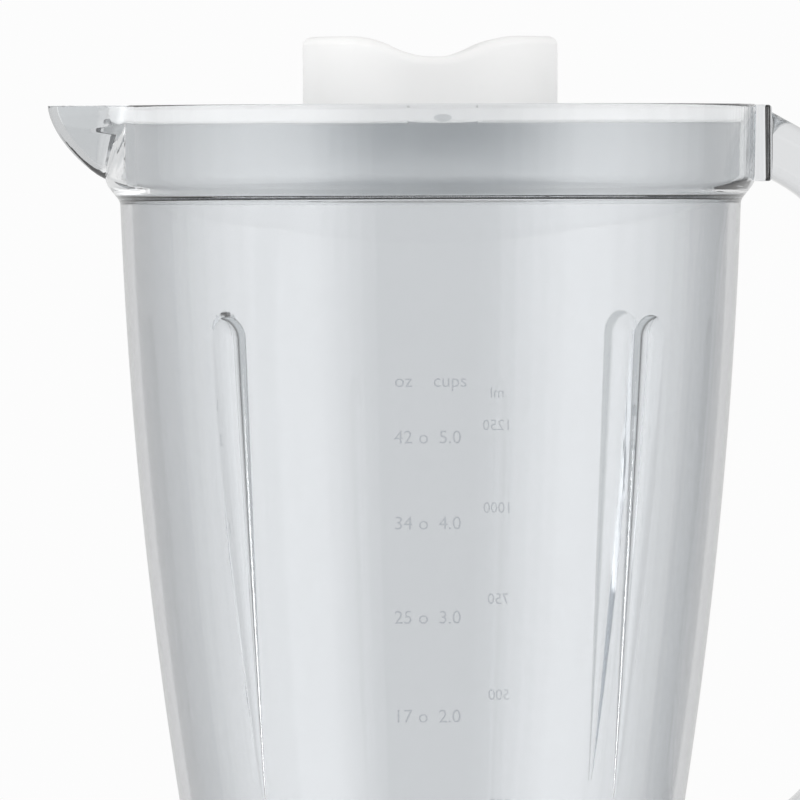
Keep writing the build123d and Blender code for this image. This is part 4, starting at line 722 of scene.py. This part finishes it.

# The mouth band is paler than the side, most of all near the rim and towards its ends: painted light, a paler
# tint that makes the seal behind the band and the band's slanted ends look more brightly lit.
painted_light_band_tint, painted_light_band_end_tint = (0.825, 0.835, 0.845), (0.965, 0.968, 0.972)
painted_light_band_top_tint = (0.875, 0.88, 0.885)
band_end_slant = (0.05, 0.5)
band_top_z = rim_z - 0.0045
band_top_blur, band_foot_blur = 0.0005, 0.001
spout_near, spout_far = mouth_radius + 0.0003, mouth_radius + 0.0008
painted_light_band_colour = tinted(tree, soft_step(tree, slant, *band_end_slant), painted_light_band_tint, painted_light_band_end_tint)
near_rim = soft_step(tree, height, band_top_z - band_top_blur, band_top_z + band_top_blur)
painted_light_band_colour = tinted(tree, near_rim, painted_light_band_colour, painted_light_band_top_tint)
above_side = soft_step(tree, height, side_top_z - band_foot_blur, side_top_z + band_foot_blur)
in_mouth = soft_step(tree, off_axis, mouth_radius, spout_far, 1.0, 0.0)
in_band = sum_up(tree, "MULTIPLY", above_side, in_mouth)
# Painted light: in the mouth band the paler band colour takes the place of the jar's own tint.
tree.links.new(tinted(tree, in_band, base_colour.links[0].from_socket, painted_light_band_colour), base_colour)

# The spout is thin, so light soon finds its way out of it.
outside = soft_step(tree, off_axis, spout_near, spout_far)
to_the_left = soft_step(tree, sideways, axis_x - past, axis_x + past, 1.0, 0.0)
on_spout = sum_up(tree, "MULTIPLY", outside, to_the_left)
bounces = soft_step(tree, on_spout, 0.0, 1.0, thick_bounces, thin_bounces)
tree.links.new(bounces, tree.nodes["caught"].inputs[1])
caught_tint = tinted(tree, on_spout, thick_caught, thin_caught)
tree.links.new(caught_tint, tree.nodes["caught_light"].inputs["Color"])

# The flanks of the ribs show as soft dark lines: painted shade, where a flank is seen at a slant, light goes
# straight through it in a dark tint.
flank_painted_shade_tint = (0.62, 0.64, 0.65)
flank_slant = (0.22, 0.36)
flank_rise = 0.0002
flank = jar.data.attributes.new("flank", "FLOAT", "POINT")
for vert, mark in zip(jar.data.vertices, flank.data):
    from_middle = hypot(vert.co.x - axis_x, vert.co.y - axis_y)
    in_height = rib_foot_z < vert.co.z < rib_top_z + rib_top_radius
    mark.value = 1.0 if in_height and from_middle < side_radius(vert.co.z) - jar_wall - flank_rise else 0.0
on_rib = tree.nodes.new("ShaderNodeAttribute")
on_rib.attribute_name = "flank"
painted_shade_share = sum_up(tree, "MULTIPLY", on_rib.outputs["Fac"], soft_step(tree, slant, *flank_slant))
surface = tree.nodes["Material Output"].inputs["Surface"]
tree.links.new(let_through(tree, painted_shade_share, surface.links[0].from_socket, "rib_flank_painted_shade", flank_painted_shade_tint), surface)
jar.data.materials.clear()
jar.data.materials.append(clear_plastic)
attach(jar, "jar")
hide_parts("jar")


# Volume marks: plain numbers with a ring between each pair, moulded on the front and back of the jar.
# Ounces and cups stand in front and millilitres behind, by depth below the rim, in rows a cup apart that
# lie near the heights of the volumes they name.
front_marks = {0.1369: ("17", "2.0"), 0.1147: ("25", "3.0"), 0.0936: ("34", "4.0"), 0.0744: ("42", "5.0")}
back_marks = {0.1622: "250", 0.1369: "500", 0.1147: "750", 0.0936: "1000", 0.0744: "1250"}
front_units, front_units_depth = ("oz", "cups"), 0.0618
back_unit, back_unit_depth = "ml", 0.0668
front_columns = (-0.0088, 0.0016)
ring_column, back_column = -0.0043, -0.0185
mark_size, back_mark_size = 0.0042, 0.0036
mark_proud = 0.00012
mark_gap = 0.00002


def add_mark(bm, words, size, column, depth, turn):
    """One number or unit, drawn flat, then bent onto the side of the jar at a depth below the rim."""
    place = Matrix.Translation((column, -depth, mark_proud / 2))
    for vert in add_lettering(bm, words, size, mark_proud / 2, place):
        z = rim_z + vert.co.y
        radius = side_radius(z) + mark_gap + vert.co.z
        around = turn + vert.co.x / side_radius(z)
        vert.co = Vector((axis_x + radius * sin(around), axis_y - radius * cos(around), z))


bm = bmesh.new()
for column, words in zip(front_columns, front_units):
    add_mark(bm, words, mark_size, column, front_units_depth, 0)
for depth, pair in front_marks.items():
    for column, words in zip(front_columns, pair):
        add_mark(bm, words, mark_size, column, depth, 0)
    add_mark(bm, "o", mark_size, ring_column, depth, 0)
add_mark(bm, back_unit, back_mark_size, back_column, back_unit_depth, pi)
for depth, words in back_marks.items():
    add_mark(bm, words, back_mark_size, back_column, depth, pi)
mark_finish = clear_finish(
    "volume_mark", (0.77, 0.785, 0.80), clear_edge_shade_share,
    roughness=0.12, swing=0.03, bounces=mark_bounces, caught_tint=thin_caught,
)
new_piece("volume_marks", bm, mark_finish, "jar")


# Handle: a looped clear bar, welded to the pads on the jar's side away from the spout.
# It is drawn along its middle line as one rounded section, then cut square at both pads.
handle_corner, handle_corner_steps = 0.006, 8
handle_root = Vector((pad_x, 0, rim_z - 0.00935))
handle_root_angle = radians(29)
handle_lead = 0.006
handle_grip_length = 0.0749
handle_bends = ((0.0402, pi / 2 - handle_root_angle), (0.060, radians(38)), (0.030, radians(37)))
bend_steps = 16


def level_cut(bm, x):
    """Cuts off what lies nearer the jar than x, and closes the end."""
    everything = bm.verts[:] + bm.edges[:] + bm.faces[:]
    bmesh.ops.bisect_plane(bm, geom=everything, plane_co=(x, 0, 0), plane_no=(1, 0, 0), clear_inner=True)
    bmesh.ops.holes_fill(bm, edges=[edge for edge in bm.edges if edge.is_boundary])


def bend(bm, face, middle, heading, radius, angle):
    """Draws a section round a bend to the right of its heading, and returns where it ends."""
    right = Vector((heading.z, 0, -heading.x))
    centre = middle + right * radius
    turn = Matrix.Rotation(angle / bend_steps, 4, "Y")
    swing = Matrix.Translation(centre) @ turn @ Matrix.Translation(-centre)
    for n in range(bend_steps):
        face = extrude_on(bm, face, swing)
        middle, heading = swing @ middle, turn.to_3x3() @ heading
    return face, middle, heading


bm = bmesh.new()
heading = Vector((cos(handle_root_angle), 0, -sin(handle_root_angle)))
across = Vector((heading.z, 0, -heading.x))
start = handle_root - heading * handle_thickness
corners = ((-1, -1), (1, -1), (1, 1), (-1, 1))
section = [start + Vector((0, y * half_width, 0)) + across * (side * half_thickness) for y, side in corners]
bm.faces.new([bm.verts.new(corner) for corner in section])
rounded(bm, bm.verts[:], "VERTICES", handle_corner, handle_corner_steps)
middle = handle_root + heading * handle_lead
face = extrude_on(bm, bm.faces[:][0], Matrix.Translation(middle - start))
face, middle, heading = bend(bm, face, middle, heading, *handle_bends[0])
level_cut(bm, pad_x)
face = min(bm.faces, key=lambda face: face.calc_center_median().z)
face = extrude_on(bm, face, Matrix.Translation(heading * handle_grip_length))
middle = middle + heading * handle_grip_length
for radius, angle in handle_bends[1:]:
    face, middle, heading = bend(bm, face, middle, heading, radius, angle)
extrude_on(bm, face, Matrix.Translation(heading * 2 * handle_thickness))
level_cut(bm, lower_pad_reach)
bmesh.ops.recalc_face_normals(bm, faces=bm.faces)
bmesh.ops.transform(bm, matrix=to_axis, verts=bm.verts)
handle_finish = clear_finish(
    "clear_handle", (0.76, 0.77, 0.78), clear_edge_shade_share,
    roughness=0.022, swing=0.010, bounces=thin_bounces, caught_tint=thin_caught,
)
handle = new_piece("handle_moulding", bm, handle_finish, "jar")
shade_smooth(handle, clear_crease)
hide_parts("handle")


# Blade unit: two stamped blades, a spacer and a domed nut on a steel shaft, in a holder through the floor.
# Blades and shaft are polished stainless steel; the holder and its nut are white mouldings, and the
# bushes are sintered bronze.
stainless = metal(
    "stainless_steel", (0.60, 0.61, 0.62), (0.72, 0.73, 0.74),
    roughness=0.18, swing=0.05, line_scale=500, stretch=(1, 6, 1), depth=2e-6,
)
dress(stainless, "upper_blade", "lower_blade", "blade_nut", "blade_shaft", "blade_spacer")
bronze = moulded(
    "sintered_bronze", (0.40, 0.27, 0.13), (0.52, 0.36, 0.19),
    roughness=0.45, swing=0.08, grain_scale=2600, depth=1e-5,
)
settle(bronze, {"Metallic": 1})
dress(bronze, "upper_bush", "lower_bush")
dress(satin_white, "blade_holder", "holder_nut")


# Lid: a plug lid whose plate lies level with the rim and whose skirt stands on the jar's ledge.
# Frosted pale plastic, so light comes through it but shapes behind it don't.
frosted = clear_finish(
    "frosted_plastic", (0.945, 0.960, 0.966), edge_shade_share=1.0,
    roughness=0.42, swing=0.05, bounces=thick_bounces, caught_tint=thick_caught,
)
dress(frosted, "lid")


# Lid key: a small clear dome moulded on the lid's edge, in the gap of the seal, at the front.
# It shows the way round that the lid goes in.
seal_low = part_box("lid_seal")[0]
lid_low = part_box("lid")[0]
key_width, key_proud, key_height = 0.0050, 0.0007, 0.0020
key_foot = 0.0002
key_sides = 32
key_crease = radians(40)
bm = bmesh.new()
bmesh.ops.create_uvsphere(bm, u_segments=key_sides, v_segments=key_sides // 2, radius=1.0)
everything = bm.verts[:] + bm.edges[:] + bm.faces[:]
bmesh.ops.bisect_plane(bm, geom=everything, plane_co=(0, 0, 0), plane_no=(0, 1, 0), clear_outer=True)
bmesh.ops.holes_fill(bm, edges=[edge for edge in bm.edges if edge.is_boundary])
bmesh.ops.scale(bm, vec=(key_width / 2, key_proud, key_height / 2), verts=bm.verts)
key_place = Vector((axis_x, lid_low.y - key_foot / 4, seal_low.z + key_height / 2 + key_foot))
bmesh.ops.translate(bm, vec=key_place, verts=bm.verts)
key = new_piece("lid_key", bm, handle_finish, "lid")
shade_smooth(key, key_crease)


# Lid seal: a soft white silicone band in the lid's groove, open at the key.
# Pressed silicone, dull and a little see-through at its edges.
silicone = moulded(
    "white_silicone", (0.90, 0.905, 0.905), (0.93, 0.935, 0.935),
    roughness=0.5, swing=0.05, grain_scale=1500, depth=5e-6,
)
settle(silicone, {"Subsurface Weight": 0.15, "Subsurface Radius": glow_radius})
dress(silicone, "lid_seal")


# Filler cap: a hollow white cap with a finger dip across its top, plugged into the lid's neck.
# A satin moulding, a little warmer than the housing.
cap_white = moulded(
    "cap_white_plastic", (0.795, 0.792, 0.787), (0.83, 0.827, 0.82),
    roughness=0.40, swing=0.06, grain_scale=1700, depth=5e-6,
)
dress(cap_white, "filler_cap")


# Counter: a plain pale disc that fades out at its edge and keeps the object's shadow.
# It belongs to the stage, not to the object.
counter_radius, counter_sides = 0.50, 128
counter_fade = (0.62 * counter_radius, 0.98 * counter_radius)
counter_dark, counter_light = (0.86, 0.86, 0.86), (0.90, 0.90, 0.90)
counter_cloud_scale, counter_grain_scale = 6.0, 700.0
scene.view_settings.view_transform = "Standard"
bm = bmesh.new()
bmesh.ops.create_circle(bm, cap_ends=True, segments=counter_sides, radius=counter_radius)
counter = loose_object("counter", bm)
pale, tree, shader = new_finish("pale_counter")
place = tree.nodes.new("ShaderNodeTexCoord")
length = tree.nodes.new("ShaderNodeVectorMath")
length.operation = "LENGTH"
tree.links.new(place.outputs["Object"], length.inputs[0])
fade = soft_step(tree, length.outputs["Value"], *counter_fade, 1.0, 0.0)
tree.links.new(fade, shader.inputs["Alpha"])
cloud = skin_on(tree, counter_cloud_scale, counter_grain_scale)[0]
tree.links.new(two_tone(tree, cloud, counter_dark, counter_light), shader.inputs["Base Color"])
settle(pale, {"Roughness": 0.6})
counter.data.materials.append(pale)


# Studio: an even white surround, full to the eye and through clear plastic, and dim in plain reflections.
# A tall softbox stands on each side, in layers, so that its edges fade.
lighting_level, seen_level = 0.80, 0.975
mirror_share = 0.25
studio = bpy.data.worlds.new("studio")
scene.world = studio
studio.use_nodes = True
tree = studio.node_tree
surround = tree.nodes["Background"]
path = tree.nodes.new("ShaderNodeLightPath").outputs
seen = sum_up(tree, "MAXIMUM", path["Is Camera Ray"], path["Is Transmission Ray"], clamp=True)
mirrored = sum_up(tree, "SUBTRACT", path["Is Glossy Ray"], path["Is Transmission Ray"], clamp=True)
from_inside = sum_up(tree, "SUBTRACT", path["Ray Depth"], path["Is Glossy Ray"], clamp=True)
mirrored = sum_up(tree, "SUBTRACT", mirrored, from_inside, clamp=True)
level = ranged(tree, seen, (0, 1), (lighting_level, seen_level))
dimming = ranged(tree, mirrored, (0, 1), (1.0, mirror_share))
tree.links.new(sum_up(tree, "MULTIPLY", level, dimming, clamp=True), surround.inputs["Strength"])
surround.inputs["Color"].default_value = (1, 1, 1, 1)

softbox_distance = 0.75
softbox_height, softbox_foot = 1.10, -0.14
softbox_layers = 5
softbox_level = 1.65
softbox_spans = {"left": ((-73, -42), (-111, -22)), "right": ((47, 68), (23, 107))}


def softbox(name, start, end, level):
    """A flat lamp that stands upright and faces the drive axis, seen from there between two bearings."""
    width = 2 * softbox_distance * tan((end - start) / 2)
    lamp = bpy.data.lights.new(name, "AREA")
    lamp.shape = "RECTANGLE"
    lamp.size, lamp.size_y = width, softbox_height
    lamp.energy = level * pi * width * softbox_height
    holder = bpy.data.objects.new(name, lamp)
    scene.collection.objects.link(holder)
    bearing = (start + end) / 2
    out = Vector((sin(bearing), -cos(bearing), 0))
    place = Vector((axis_x, axis_y, softbox_foot + softbox_height / 2)) + out * softbox_distance
    holder.matrix_world = Matrix.Translation(place) @ out.to_track_quat("Z", "Y").to_matrix().to_4x4()
    holder.visible_camera = False


for side, (narrow, wide) in softbox_spans.items():
    for n in range(softbox_layers):
        share = n / (softbox_layers - 1)
        start, end = (radians(near + (far - near) * share) for near, far in zip(narrow, wide))
        softbox(f"softbox_{side}_{n}", start, end, softbox_level / softbox_layers)


# Camera: far off, just below the level of the jar's rim and a little to the left of the front.
# A long lens crops the picture above the base, as the photo does.
camera_turn = radians(-2.2)
camera_distance = 3.0
pixels_per_metre = 4390
frame_pixels = 800
sensor_width = 36
camera_below_rim = 0.012
aim_below_rim = 0.0672
aim_right = -0.0071
camera_roll = radians(-0.18)
lens = bpy.data.cameras.new("camera")
lens.sensor_width = sensor_width
lens.lens = sensor_width * pixels_per_metre * camera_distance / frame_pixels
camera = bpy.data.objects.new("camera", lens)
scene.collection.objects.link(camera)
camera_out = Vector((sin(camera_turn), -cos(camera_turn), 0))
camera_right = Vector((cos(camera_turn), sin(camera_turn), 0))
eye = Vector((axis_x, axis_y, rim_z - camera_below_rim)) + camera_out * camera_distance
aim = Vector((axis_x, axis_y, rim_z - aim_below_rim)) + camera_right * aim_right
look = (aim - eye).to_track_quat("-Z", "Y").to_matrix().to_4x4()
camera.matrix_world = Matrix.Translation(eye) @ look @ Matrix.Rotation(camera_roll, 4, "Z")
scene.camera = camera
